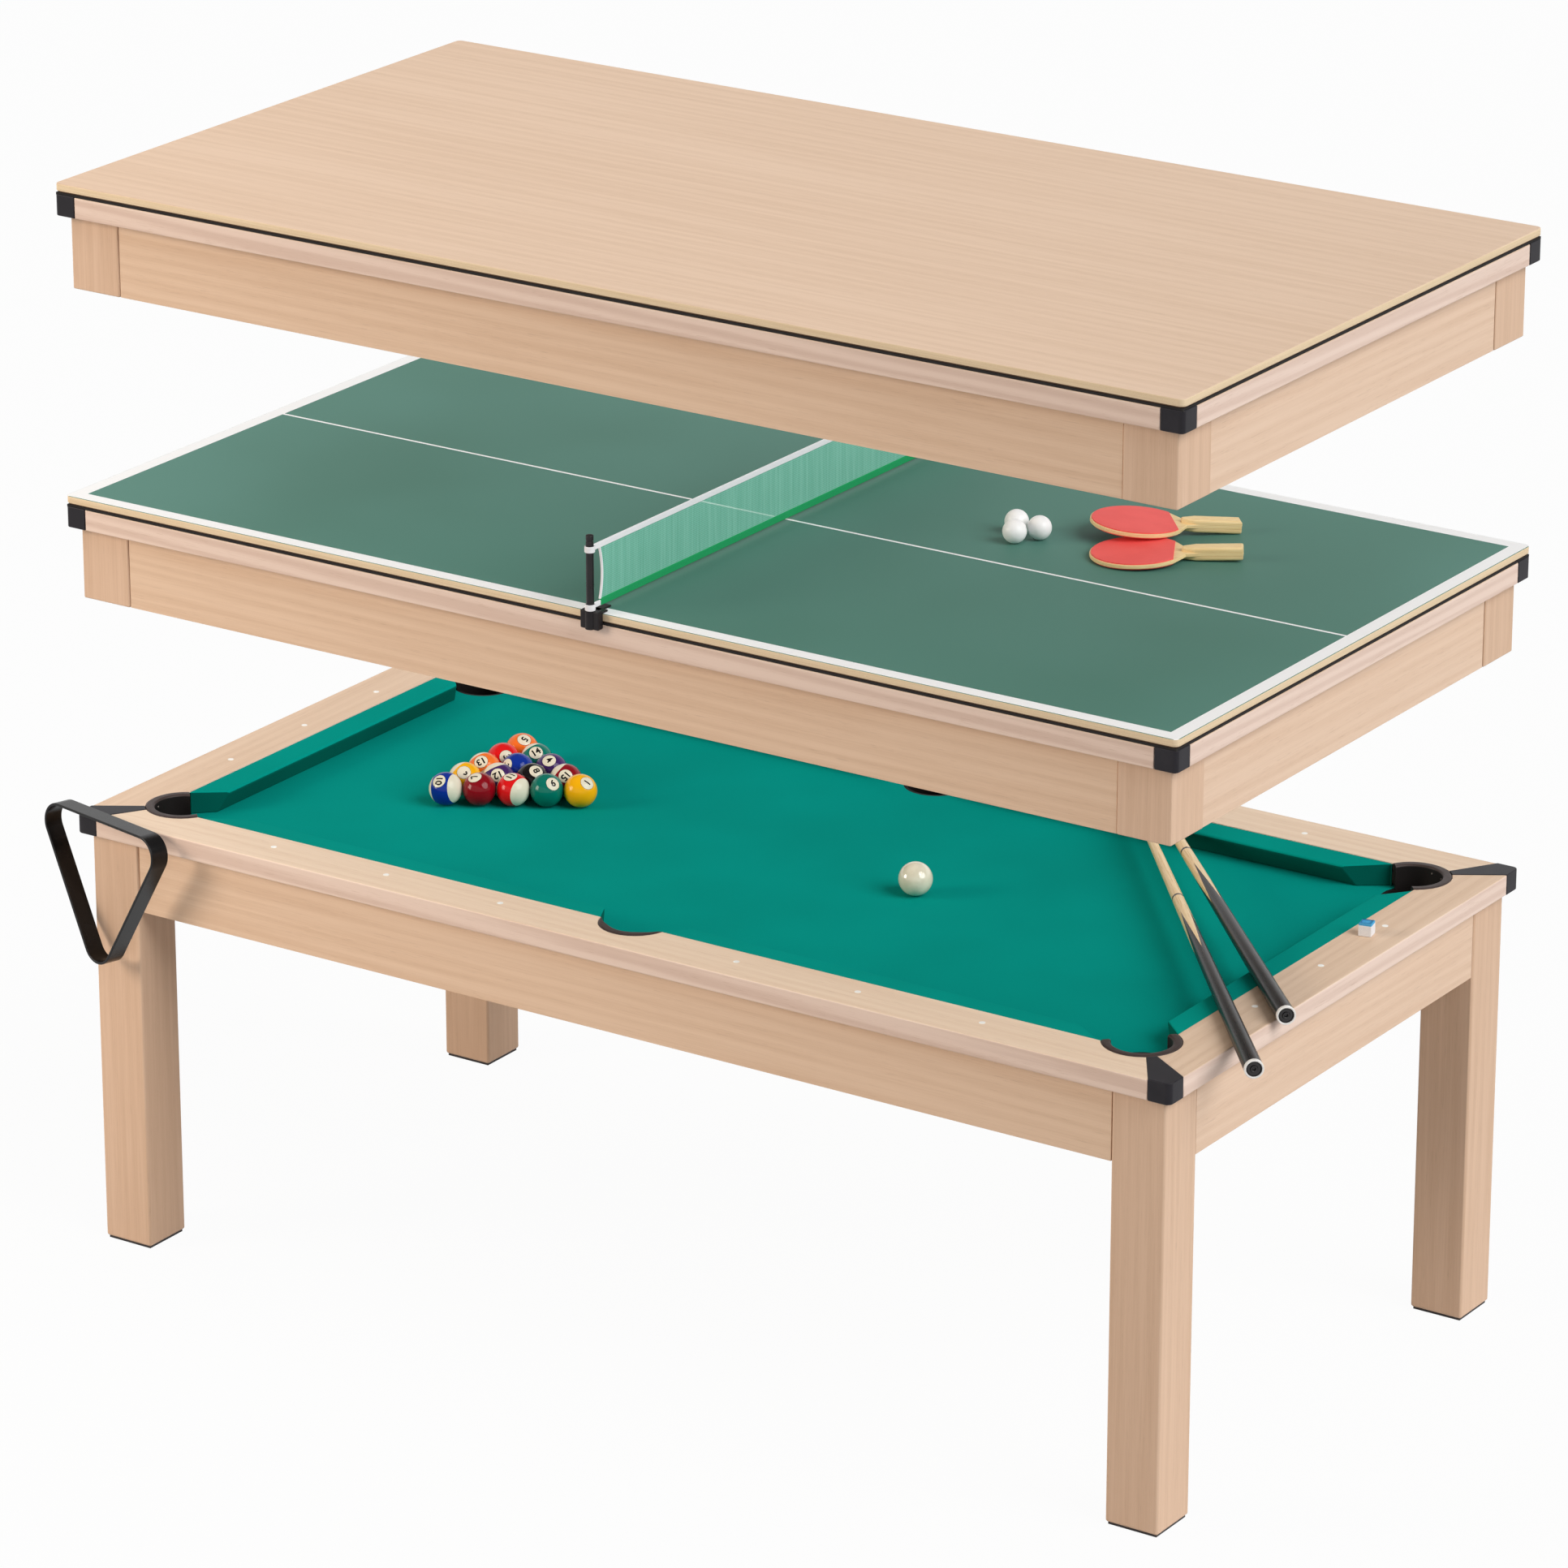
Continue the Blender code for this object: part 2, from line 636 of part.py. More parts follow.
def tier(kind, board_top, surface):
    """A lift-off board and the shallow frame that carries it."""
    outline = rounded_rectangle(HALF_LENGTH, HALF_WIDTH, BOARD_CORNER_RADIUS, BOARD_ARC_STEPS)
    board_bottom = board_top - BOARD_THICKNESS
    slab(kind + "_top", [outline], board_bottom, board_top, surface)
    rail_top = board_top - TIER_DEPTH
    inner = rectangle(HALF_LENGTH - RAIL_WIDTH, HALF_WIDTH - RAIL_WIDTH)
    rail_bottom = rail_top - RAIL_THICKNESS
    rail = slab(kind + "_rails", [outline, inner], rail_bottom, rail_top, wood(kind + "_rails"))
    step_outer = rectangle(HALF_LENGTH - SHADOW_INSET, HALF_WIDTH - SHADOW_INSET)
    step_inner = rectangle(
        HALF_LENGTH - RAIL_WIDTH + SHADOW_INSET, HALF_WIDTH - RAIL_WIDTH + SHADOW_INSET
    )
    step_top = board_bottom - GAP
    join(rail, slab(kind + "_step", [step_outer, step_inner], rail_bottom + GAP, step_top))
    apron_top = rail_bottom - GAP
    apron_bottom = apron_top - APRON_HEIGHT
    post_x, post_y = HALF_LENGTH - LEG_INNER, HALF_WIDTH - LEG_INNER
    inner_x, inner_y = HALF_LENGTH - APRON_INNER, HALF_WIDTH - APRON_INNER
    hollow = all_round([(inner_x, post_y), (post_x, post_y), (post_x, inner_y)])
    outer_x, outer_y = HALF_LENGTH - LEG_INSET, HALF_WIDTH - LEG_INSET
    face_x, face_y = HALF_LENGTH - APRON_OUTER, HALF_WIDTH - APRON_OUTER
    post = [(face_x, post_y), (outer_x, post_y), (outer_x, outer_y), (post_x, outer_y), (post_x, face_y)]
    outlines = [all_round(post), hollow]
    slab(kind + "_aprons", outlines, apron_bottom, apron_top, wood(kind + "_aprons"))


def net_clamps_and_posts():
    """A clamp on each long edge of the tennis board, with a post standing on it."""
    board_bottom = TENNIS_BOARD_TOP - BOARD_THICKNESS
    half = CLAMP_WIDTH / 2
    dark = black_plastic("clamp")
    for side, sy in LONG_SIDES.items():
        def block(name, near, far, low, high, material=None):
            """A block between two distances from the board's edge, outwards."""
            ends = sorted(sy * (HALF_WIDTH + distance) for distance in (near, far))
            return box(name, (-half, ends[0], low), (half, ends[1], high), material)

        name = "net_clamp_" + side
        low, high = TENNIS_BOARD_TOP - CLAMP_DROP, TENNIS_BOARD_TOP + CLAMP_RISE
        clamp = rounded(block(name, GAP, GAP + CLAMP_DEPTH, low, high, dark), CLAMP_ROUNDING)
        middle = GAP + CLAMP_DEPTH / 2
        plate_low = TENNIS_BOARD_TOP + GAP
        plate_high = plate_low + CLAMP_PLATE_THICKNESS
        join(clamp, block(name + "_plate", -CLAMP_PLATE_REACH, middle, plate_low, plate_high))
        jaw_high = board_bottom - GAP
        jaw_low = jaw_high - CLAMP_JAW_THICKNESS
        join(clamp, block(name + "_jaw", -CLAMP_JAW_REACH, middle, jaw_low, jaw_high))
        post_top = TENNIS_BOARD_TOP + POST_HEIGHT
        post = "net_post_" + side
        place = (0, sy * (HALF_WIDTH + middle))
        cylinder(post, POST_RADIUS, high + GAP, post_top, POST_STEPS, place, black_plastic("post"))


def net():
    """Mesh between a tape and a band, which end in loops round the two posts."""
    low = TENNIS_BOARD_TOP + NET_LIFT_OFF
    high = low + NET_HEIGHT
    half = HALF_WIDTH - NET_SIDE_SETBACK
    mesh_low, mesh_high = low + NET_BAND_HEIGHT, high - NET_TAPE_HEIGHT
    columns = round(2 * half / NET_COLUMN_PITCH)
    rows = round((mesh_high - mesh_low) / NET_ROW_PITCH)
    pitch_y, pitch_z = 2 * half / columns, (mesh_high - mesh_low) / rows
    strand = NET_STRAND / 2
    across, up = [-half], [low]
    for column in range(columns):
        across += [-half + column * pitch_y + strand, -half + (column + 1) * pitch_y - strand]
    for row in range(rows):
        up += [mesh_low + row * pitch_z + strand, mesh_low + (row + 1) * pitch_z - strand]
    green = finish("net_green", (0.02, 0.30, 0.16), 0.7)
    piece = lattice("net", [*across, half], [*up, high], NET_THICKNESS, green)
    upright = Matrix.Rotation(math.pi / 2, 4, "Z") @ Matrix.Rotation(math.pi / 2, 4, "X")
    piece.matrix_world = upright
    post_y = HALF_WIDTH + GAP + CLAMP_DEPTH / 2
    thick = NET_TAPE_THICKNESS / 2
    for part, band_low, band_high in (("band", low, mesh_low), ("tape", mesh_high, high)):
        join(piece, box("net_" + part, (-thick, -post_y, band_low), (thick, post_y, band_high)))
        for side, sy in LONG_SIDES.items():
            loop = POST_RADIUS + GAP + NET_LOOP_WALL
            place = (0, sy * post_y)
            join(piece, cylinder(f"net_{part}_loop_{side}", loop, band_low, band_high, POST_STEPS, place))
    for side, sy in LONG_SIDES.items():
        bore = POST_RADIUS + GAP
        place = (0, sy * post_y)
        ends = (low - OVERRUN, high + OVERRUN)
        carve(piece, cylinder(f"net_bore_{side}", bore, *ends, POST_STEPS, place))


def bat(name, tip, turn, tilt, tip_height):
    """A bat with its blade's tip at the origin of its own frame and its handle along +X."""
    red = finish("bat_rubber", (0.85, 0.08, 0.07), 0.6)
    centre = (BAT_HEAD_LENGTH / 2, 0)
    half = BAT_HANDLE_WIDTH / 2
    neck = math.asin(BAT_HANDLE_WIDTH / BAT_HEAD_WIDTH)
    stretch = BAT_HEAD_WIDTH / BAT_HEAD_LENGTH
    round_head = arc(centre, BAT_HEAD_LENGTH / 2, neck, 2 * math.pi - neck, BAT_ARC_STEPS)
    outline = [(x, y * stretch) for x, y in round_head]
    handle_middle = BAT_LENGTH - BAT_HANDLE_LENGTH / 2
    outline += [(handle_middle, -half), (handle_middle, half)]
    blade = sheet(name, [outline], BAT_BLADE_THICKNESS, red)
    thick = BAT_HANDLE_THICKNESS / 2
    grip = box(name + "_grip", (BAT_LENGTH - BAT_HANDLE_LENGTH, -half, -thick), (BAT_LENGTH, half, thick))
    place = Matrix.Translation((*tip, tip_height)) @ Matrix.Rotation(turn, 4, "Z")
    place = place @ Matrix.Rotation(-tilt, 4, "Y")
    blade.matrix_world = place
    grip.matrix_world = place @ Matrix.Translation(grip.location)
    return join(blade, rounded(grip, BAT_HANDLE_ROUNDING))


def bats():
    """Two bats: the near one on the board, the far one with its head on the near one's head."""
    half_blade = BAT_BLADE_THICKNESS / 2
    lift = (BAT_HANDLE_THICKNESS - BAT_BLADE_THICKNESS) / 2
    lying = math.asin(lift / (BAT_LENGTH - BAT_HANDLE_LENGTH))
    base = TENNIS_BOARD_TOP + GAP
    bat("bat_near", NEAR_BAT_TIP, NEAR_BAT_TURN, lying, base + half_blade)
    end_height = base + BAT_HANDLE_THICKNESS / 2 * math.cos(FAR_BAT_TILT)
    tip_height = end_height + BAT_LENGTH * math.sin(FAR_BAT_TILT)
    bat("bat_far", FAR_BAT_TIP, FAR_BAT_TURN, -FAR_BAT_TILT, tip_height)


def tennis_balls():
    """Three light balls on the tennis board."""
    white = finish("tennis_ball_white", (0.85, 0.85, 0.83), 0.4)
    for number, place in enumerate(TENNIS_BALL_PLACES, 1):
        centre = (*place, TENNIS_BOARD_TOP + GAP + TENNIS_BALL_RADIUS)
        ball(f"tennis_ball_{number}", TENNIS_BALL_RADIUS, centre, white)


def pool_balls():
    """The cue ball, and fifteen balls in their triangle, held together by small necks."""
    height = CLOTH_TOP + GAP + POOL_BALL_RADIUS
    cream = finish("cue_ball_cream", (0.83, 0.78, 0.60), 0.12)
    ball("cue_ball", POOL_BALL_RADIUS, (*CUE_BALL_PLACE, height), cream, 2 * BALL_SEGMENTS, 2 * BALL_RINGS)
    pitch = 2 * POOL_BALL_RADIUS
    turn = Matrix.Rotation(RACK_TURN, 4, "Z")
    start = Vector((*RACK_ROW_START, height))

    def place(row, column):
        """A ball's centre, counted from the long row's left end."""
        local = Vector((pitch * (column + row / 2), pitch * row * math.sin(math.pi / 3), 0))
        return start + turn @ local

    bm = bmesh.new()
    for row in range(RACKED_ROWS):
        for column in range(RACKED_ROWS - row):
            centre = place(row, column)
            if row or column:
                at = Matrix.Translation(centre)
                bmesh.ops.create_uvsphere(
                    bm, u_segments=BALL_SEGMENTS, v_segments=BALL_RINGS, radius=POOL_BALL_RADIUS, matrix=at
                )
            nexts = [place(row, column + 1)] if column + 1 < RACKED_ROWS - row else []
            if column == 0 and row + 1 < RACKED_ROWS:
                nexts.append(place(row + 1, 0))
            for other in nexts:
                towards = (other - centre).to_track_quat("Z", "Y").to_matrix().to_4x4()
                bmesh.ops.create_cone(
                    bm, cap_ends=True, segments=RACKED_NECK_STEPS, depth=RACKED_NECK_LENGTH,
                    radius1=RACKED_NECK_RADIUS, radius2=RACKED_NECK_RADIUS,
                    matrix=Matrix.Translation((centre + other) / 2) @ towards,
                )
    rest = add_object("racked_balls_rest", mesh_from(bm, "racked_balls_rest"), None)
    colours = finish("racked_ball_colours", (0.55, 0.08, 0.10), 0.12)
    join(ball("racked_balls", POOL_BALL_RADIUS, start, colours), rest, self_crossing=True)


def cues():
    """Two tapered cues with their undersides level on the rails."""
    profile = [
        (0, CUE_LENGTH),
        (CUE_TIP_RADIUS - CUE_ROUNDING, CUE_LENGTH),
        (CUE_TIP_RADIUS, CUE_LENGTH - CUE_ROUNDING),
        (CUE_BUTT_RADIUS, CUE_ROUNDING),
        (CUE_BUTT_RADIUS - CUE_ROUNDING, 0),
        (0, 0),
    ]
    slope = math.atan2(CUE_BUTT_RADIUS - CUE_TIP_RADIUS, CUE_LENGTH)
    height = TABLE_HEIGHT + GAP + CUE_BUTT_RADIUS
    for name, butt, turn in (("cue_1", CUE_1_BUTT, CUE_1_TURN), ("cue_2", CUE_2_BUTT, CUE_2_TURN)):
        beyond, inwards = butt
        cue = turned(name, profile, CUE_STEPS, finish("cue_wood", (0.30, 0.20, 0.14), 0.25))
        lying = Matrix.Rotation(turn, 4, "Z") @ Matrix.Rotation(math.pi / 2 + slope, 4, "Y")
        place = (HALF_LENGTH + beyond, inwards - HALF_WIDTH, height)
        cue.matrix_world = Matrix.Translation(place) @ lying


def rounded_triangle(side, radius, steps):
    """A triangle with its bar along X at Y = 0 and its point at -Y, its corners round."""
    drop = side * math.sin(math.pi / 3)
    middle = Vector((0, -drop / 3))
    pull = 1 - radius * math.sqrt(12) / side
    corners = [Vector((side / 2, 0)), Vector((-side / 2, 0)), Vector((0, -drop))]
    points = []
    for turn, corner in zip((-30, 90, 210), corners):
        centre = middle + (corner - middle) * pull
        start = math.radians(turn)
        points += arc(centre, radius, start, start + math.radians(120), steps)
    return points


def rack():
    """The triangle, its bar on the near rail's edge and its arms outside the table's corner."""
    outer = rounded_triangle(RACK_SIDE, RACK_CORNER_RADIUS, RACK_ARC_STEPS)
    inner_side = RACK_SIDE - RACK_WALL * math.sqrt(12)
    inner = rounded_triangle(inner_side, RACK_CORNER_RADIUS - RACK_WALL, RACK_ARC_STEPS)
    inner = [(x, y - RACK_WALL) for x, y in inner]
    piece = sheet("rack", [outer, inner], RACK_DEPTH, black_plastic("rack"))
    lean = RACK_DEPTH / 2 * math.sin(RACK_LEAN)
    height = TABLE_HEIGHT + CAP_RISE + GAP + RACK_WALL * math.cos(RACK_LEAN) + lean
    standing = Matrix.Rotation(math.pi / 2, 4, "X") @ Matrix.Rotation(-RACK_LEAN, 4, "X")
    turn = Matrix.Rotation(RACK_BAR_TURN, 4, "Z")
    middle = (RACK_BAR_SETBACK - HALF_LENGTH, -HALF_WIDTH - RACK_BAR_OVERHANG, height)
    piece.matrix_world = Matrix.Translation(middle) @ turn @ standing


def chalk():
    """A cube of chalk on the right rail."""
    half = CHALK_SIDE / 2
    blue = finish("chalk_blue", (0.25, 0.50, 0.72), 0.9)
    piece = rounded(box("chalk", (-half,) * 3, (half,) * 3, blue), CHALK_ROUNDING)
    piece.location = (HALF_LENGTH - CHALK_SETBACK, CHALK_OFFSET, TABLE_HEIGHT + GAP + half)
    piece.rotation_euler.z = CHALK_TURN


def main():
    """Build the table from the floor up."""
    clear_scene()
    legs()
    aprons()
    rails()
    corner_caps()
    pockets()
    cushions()
    playfield()
    tier("tennis", TENNIS_BOARD_TOP, finish("tennis_green", (0.09, 0.20, 0.16), 0.6))
    tier("dining", DINING_BOARD_TOP, wood("dining_top"))
    net_clamps_and_posts()
    net()
    bats()
    tennis_balls()
    pool_balls()
    cues()
    rack()
    chalk()


main()
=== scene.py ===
"""Looks of the multi game table: a pool table, and above it a tennis tier and a dining tier.

X runs along the table, Y across it and Z up, in metres, with the near long side at -Y. Each class makes
one sub-assembly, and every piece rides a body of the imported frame.
"""

from __future__ import annotations

import logging
import math
from dataclasses import dataclass
from enum import Enum
from typing import Any, Callable, Iterable, Mapping, Optional, Sequence, Union

import bmesh
import bpy
from mathutils import Matrix, Vector


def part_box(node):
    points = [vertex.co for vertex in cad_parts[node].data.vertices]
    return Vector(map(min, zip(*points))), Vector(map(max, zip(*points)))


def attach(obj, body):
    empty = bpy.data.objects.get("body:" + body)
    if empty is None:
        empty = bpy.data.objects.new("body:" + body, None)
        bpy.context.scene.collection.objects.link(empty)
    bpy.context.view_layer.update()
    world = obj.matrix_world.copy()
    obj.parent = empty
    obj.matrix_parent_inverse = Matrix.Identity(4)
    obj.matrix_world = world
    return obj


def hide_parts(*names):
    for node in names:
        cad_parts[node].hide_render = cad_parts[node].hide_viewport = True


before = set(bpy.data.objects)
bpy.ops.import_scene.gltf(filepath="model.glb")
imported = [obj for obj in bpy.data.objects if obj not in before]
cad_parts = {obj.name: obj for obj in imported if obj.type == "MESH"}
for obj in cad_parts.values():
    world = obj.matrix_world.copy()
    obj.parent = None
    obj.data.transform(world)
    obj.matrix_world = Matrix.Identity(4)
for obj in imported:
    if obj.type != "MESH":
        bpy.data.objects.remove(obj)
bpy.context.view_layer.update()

log = logging.getLogger("multi_game_table")

Colour = tuple[int, int, int]
Point = tuple[float, float]
Number = Union[float, "Shade"]

# The signs of X and Y at each corner, of Y at the long sides and of X at the ends, and then the axis
# that points out of each side or end, with its sign
CORNERS = {"near_left": (-1, -1), "near_right": (1, -1), "far_left": (-1, 1), "far_right": (1, 1)}
SIDES = {"near": -1, "far": 1}
ENDS = {"left": -1, "right": 1}
OUTWARDS = {"near": (1, -1), "far": (1, 1), "left": (0, -1), "right": (0, 1)}

# Distance within which two points are one, the turn below which two faces are one, and the least share
# of a face's normal along Z at which it looks up or down
WELD = 0.00002
FLAT = math.radians(0.5)
LEVEL_FACE = 0.7

# The sections of the bed, and the pieces made so far on each body
BED_SECTIONS = ("playfield_left", "playfield_middle", "playfield_right")
PIECES: dict[str, list[bpy.types.Object]] = {}


@dataclass(frozen=True)
class Span:
    """The box round some CAD nodes at rest."""

    low: Vector
    high: Vector

    @classmethod
    def of(cls, *nodes: str) -> "Span":
        """Measure nodes.

        Args:
            nodes: Names of CAD nodes.

        Returns:
            The box round all of them.
        """
        boxes = [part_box(node) for node in nodes]
        low = Vector(min(box[0][i] for box in boxes) for i in range(3))
        high = Vector(max(box[1][i] for box in boxes) for i in range(3))
        return cls(low, high)

    @property
    def size(self) -> Vector:
        """Length, width and height."""
        return self.high - self.low

    @property
    def middle(self) -> Vector:
        """The centre of the box."""
        return (self.low + self.high) / 2


def linear(colour: Colour) -> tuple[float, float, float, float]:
    """Turn a screen colour into what a shader takes.

    Args:
        colour: Red, green and blue from 0 to 255.

    Returns:
        Scene-linear red, green and blue, and an alpha of 1.
    """
    shares = [part / 255 for part in colour]
    parts = [s / 12.92 if s <= 0.04045 else ((s + 0.055) / 1.055) ** 2.4 for s in shares]
    return (parts[0], parts[1], parts[2], 1.0)


class Shade:
    """A socket on which Python's operators add Math nodes."""

    def __init__(self, paint: "Paint", socket: bpy.types.NodeSocket) -> None:
        """Keep the nodes and the socket."""
        self.paint = paint
        self.socket = socket

    def __add__(self, other: Number) -> "Shade":
        """Sum."""
        return self.paint.math("ADD", self, other)

    __radd__ = __add__

    def __sub__(self, other: Number) -> "Shade":
        """Difference."""
        return self.paint.math("SUBTRACT", self, other)

    def __rsub__(self, other: Number) -> "Shade":
        """Difference from a number."""
        return self.paint.math("SUBTRACT", other, self)

    def __mul__(self, other: Number) -> "Shade":
        """Product."""
        return self.paint.math("MULTIPLY", self, other)

    __rmul__ = __mul__

    def __gt__(self, other: Number) -> "Shade":
        """1 where this is the larger."""
        return self.paint.math("GREATER_THAN", self, other)

    def __lt__(self, other: Number) -> "Shade":
        """1 where this is the smaller."""
        return self.paint.math("LESS_THAN", self, other)

    def __abs__(self) -> "Shade":
        """Size without its sign."""
        return self.paint.math("ABSOLUTE", self)

    def either(self, other: Number) -> "Shade":
        """The larger of the two."""
        return self.paint.math("MAXIMUM", self, other)


class Paint:
    """The nodes of one material, or of the world."""

    def __init__(self, owner: Union[bpy.types.Material, bpy.types.World]) -> None:
        """Take the nodes that the owner starts with.

        Args:
            owner: A new material or world.
        """
        owner.use_nodes = True
        self.tree = owner.node_tree
        self.shader = self.tree.nodes.get("Principled BSDF") or self.tree.nodes["Background"]

    def node(
        self,
        kind: str,
        settings: Optional[Mapping[str, Any]] = None,
        sockets: Optional[Mapping[Union[str, int], Any]] = None,
        output: str = "",
    ) -> Shade:
        """Add a node.

        Args:
            kind: The node's type.
            settings: Its properties, set first. The key stops fills a colour ramp.
            sockets: Values or links of its inputs, by name, identifier or number.
            output: The output's name or identifier, or nothing for the first.

        Returns:
            The output that was asked for.
        """
        made = self.tree.nodes.new(kind)
        for key, value in (settings or {}).items():
            if key == "stops":
                self._fill_ramp(made.color_ramp, value)
            else:
                setattr(made, key, value)
        for key, value in (sockets or {}).items():
            self.link(self._socket(made.inputs, key), value)
        return Shade(self, self._socket(made.outputs, output) if output else made.outputs[0])

    @staticmethod
    def _socket(sockets: Any, key: Union[str, int]) -> bpy.types.NodeSocket:
        """Find a socket by its identifier, or else by its name or number."""
        return next((s for s in sockets if s.identifier == key), None) or sockets[key]

    @staticmethod
    def _fill_ramp(ramp: bpy.types.ColorRamp, stops: Sequence[tuple[float, Colour]]) -> None:
        """Set a colour ramp's stops.

        Args:
            ramp: The node's ramp.
            stops: Places from 0 to 1, and colours.
        """
        while len(ramp.elements) < len(stops):
            ramp.elements.new(0.5)
        for element, (place, colour) in zip(ramp.elements, stops):
            element.position = place
            element.color = linear(colour)

    def link(self, socket: bpy.types.NodeSocket, value: Any) -> None:
        """Give a socket a link or a value.

        Args:
            socket: An input.
            value: A Shade to link, or a plain value.
        """
        if isinstance(value, Shade):
            self.tree.links.new(value.socket, socket)
        else:
            socket.default_value = value

    def math(self, operation: str, *values: Number) -> Shade:
        """Add a Math node on one or more values."""
        return self.node("ShaderNodeMath", {"operation": operation}, dict(enumerate(values)))

    def place(self) -> Shade:
        """The point on the object, in metres."""
        return self.node("ShaderNodeTexCoord", output="Object")

    def attribute(self, name: str) -> Shade:
        """A vector kept on the mesh."""
        return self.node("ShaderNodeAttribute", {"attribute_name": name}, output="Vector")

    def parts(self, vector: Shade) -> tuple[Shade, Shade, Shade]:
        """Split a vector into X, Y and Z."""
        outputs = self.node("ShaderNodeSeparateXYZ", {}, {"Vector": vector}).socket.node.outputs
        return Shade(self, outputs["X"]), Shade(self, outputs["Y"]), Shade(self, outputs["Z"])

    def stretched(self, vector: Shade, factors: Sequence[float]) -> Shade:
        """Multiply each part of a vector by its own factor."""
        return self.node("ShaderNodeVectorMath", {"operation": "MULTIPLY"}, {0: vector, 1: tuple(factors)})

    def studio_rays(self) -> Shade:
        """Tell the rays that show the studio's white.

        Returns:
            1 for what is seen, mirrored or let through.
        """
        path = self.node("ShaderNodeLightPath").socket.node.outputs
        kinds = [Shade(self, path[f"Is {kind} Ray"]) for kind in ("Camera", "Glossy", "Transmission")]
        return kinds[0].either(kinds[1]).either(kinds[2])

    def noise(self, vector: Shade, scale: float = 1.0, detail: float = 2.0, rough: float = 0.5) -> Shade:
        """Add a noise texture.

        Args:
            vector: Where it is read.
            scale: Features in a unit of the vector.
            detail: Number of finer layers.
            rough: Strength of the finer layers.

        Returns:
            Its factor, about 0.5 on average.
        """
        sockets = {"Vector": vector, "Scale": scale, "Detail": detail, "Roughness": rough}
        return self.node("ShaderNodeTexNoise", {}, sockets, "Fac")

    def step(self, value: Shade, low: float, high: float) -> Shade:
        """Rise smoothly from 0 to 1 as the value goes from low to high."""
        sockets = {"Value": value, "From Min": low, "From Max": high}
        return self.node("ShaderNodeMapRange", {"interpolation_type": "SMOOTHSTEP"}, sockets)

    def mix(self, factor: Number, first: Any, second: Any) -> Shade:
        """Mix two colours.

        Args:
            factor: 0 for the first and 1 for the second.
            first: A colour or a link.
            second: A colour or a link.

        Returns:
            The mixed colour.
        """
        ends = [c if isinstance(c, Shade) else linear(c) for c in (first, second)]
        sockets = {"Factor_Float": factor, "A_Color": ends[0], "B_Color": ends[1]}
        return self.node("ShaderNodeMix", {"data_type": "RGBA"}, sockets, "Result_Color")

    def ramp(self, factor: Shade, stops: Sequence[tuple[float, Colour]]) -> Shade:
        """Turn a number into a colour by its stops."""
        return self.node("ShaderNodeValToRGB", {"stops": stops}, {"Fac": factor})

    def bump(self, height: Shade, depth: float, strength: float = 1.0) -> Shade:
        """Raise the surface.

        Args:
            height: 0 to 1 over the surface.
            depth: Metres from 0 to 1.
            strength: Share of the effect.

        Returns:
            The bent normal.
        """
        return self.node("ShaderNodeBump", {}, {"Height": height, "Distance": depth, "Strength": strength})

    def set(self, **values: Any) -> None:
        """Set the shader's own sockets, named with underscores for their spaces."""
        for key, value in values.items():
            self.link(self.shader.inputs[key.replace("_", " ").title().replace("Ior", "IOR")], value)


class Finish:
    """What a piece is made of. Each kind has a name and lays its nodes on a Paint."""

    name: str

    def material(self) -> bpy.types.Material:
        """Make the material, or find the one made before.

        Returns:
            The material.
        """
        found = bpy.data.materials.get(self.name)
        if found is None:
            found = bpy.data.materials.new(self.name)
            self.lay(Paint(found))
        return found

    def lay(self, paint: Paint) -> None:
        """Add the nodes of this kind of finish."""
        raise NotImplementedError


class Grain(Enum):
    """Which way wood grain runs."""

    ALONG = (True, False, False)
    ACROSS = (False, True, False)
    UPRIGHT = (False, False, True)

    def scales(self, lengthwise: float, crosswise: float) -> tuple[float, ...]:
        """Features in a metre along each axis."""
        return tuple(lengthwise if runs else crosswise for runs in self.value)


@dataclass(frozen=True)
class AshWood(Finish):
    """Pale ash laminate: long fibres, short pores and a soft lengthwise figure."""

    name: str
    grain: Grain
    pale: Colour
    brown: Colour
    pore: Colour = (192, 158, 132)
    figured: float = 0.10
    roughness: float = 0.46

    def lay(self, paint: Paint) -> None:
        """Add the nodes of this finish.

        Args:
            paint: The nodes of its material.
        """
        place = paint.place()
        fibre = paint.noise(paint.stretched(place, self.grain.scales(7.0, 520.0)), detail=4.0, rough=0.6)
        streak = paint.noise(paint.stretched(place, self.grain.scales(2.0, 85.0)), detail=4.0, rough=0.62)
        tone = paint.noise(paint.stretched(place, self.grain.scales(0.6, 5.0)), detail=1.0)
        wave = paint.node(
            "ShaderNodeTexWave",
            {"bands_direction": "DIAGONAL"},
            {
                "Vector": paint.stretched(place, self.grain.scales(0.7, 24.0)),
                "Scale": 1.0, "Distortion": 7.0, "Detail": 3.0, "Detail Scale": 0.9,
            },
            "Fac",
        )
        plain = 1.0 - self.figured
        figure = plain * (0.30 * fibre + 0.42 * streak + 0.28 * tone) + self.figured * wave
        colour = paint.ramp(paint.step(figure, 0.34, 0.66), [(0.0, self.brown), (1.0, self.pale)])
        pores = paint.noise(paint.stretched(place, self.grain.scales(34.0, 900.0)), detail=1.0)
        pore = paint.step(pores, 0.60, 0.74) * paint.step(streak, 0.64, 0.40)
        paint.set(
            base_color=paint.mix(0.38 * pore, colour, self.pore),
            roughness=self.roughness + 0.14 * fibre,
            normal=paint.bump(fibre - 0.7 * pore, 0.00012, 0.4),
            specular_ior_level=0.35,
        )


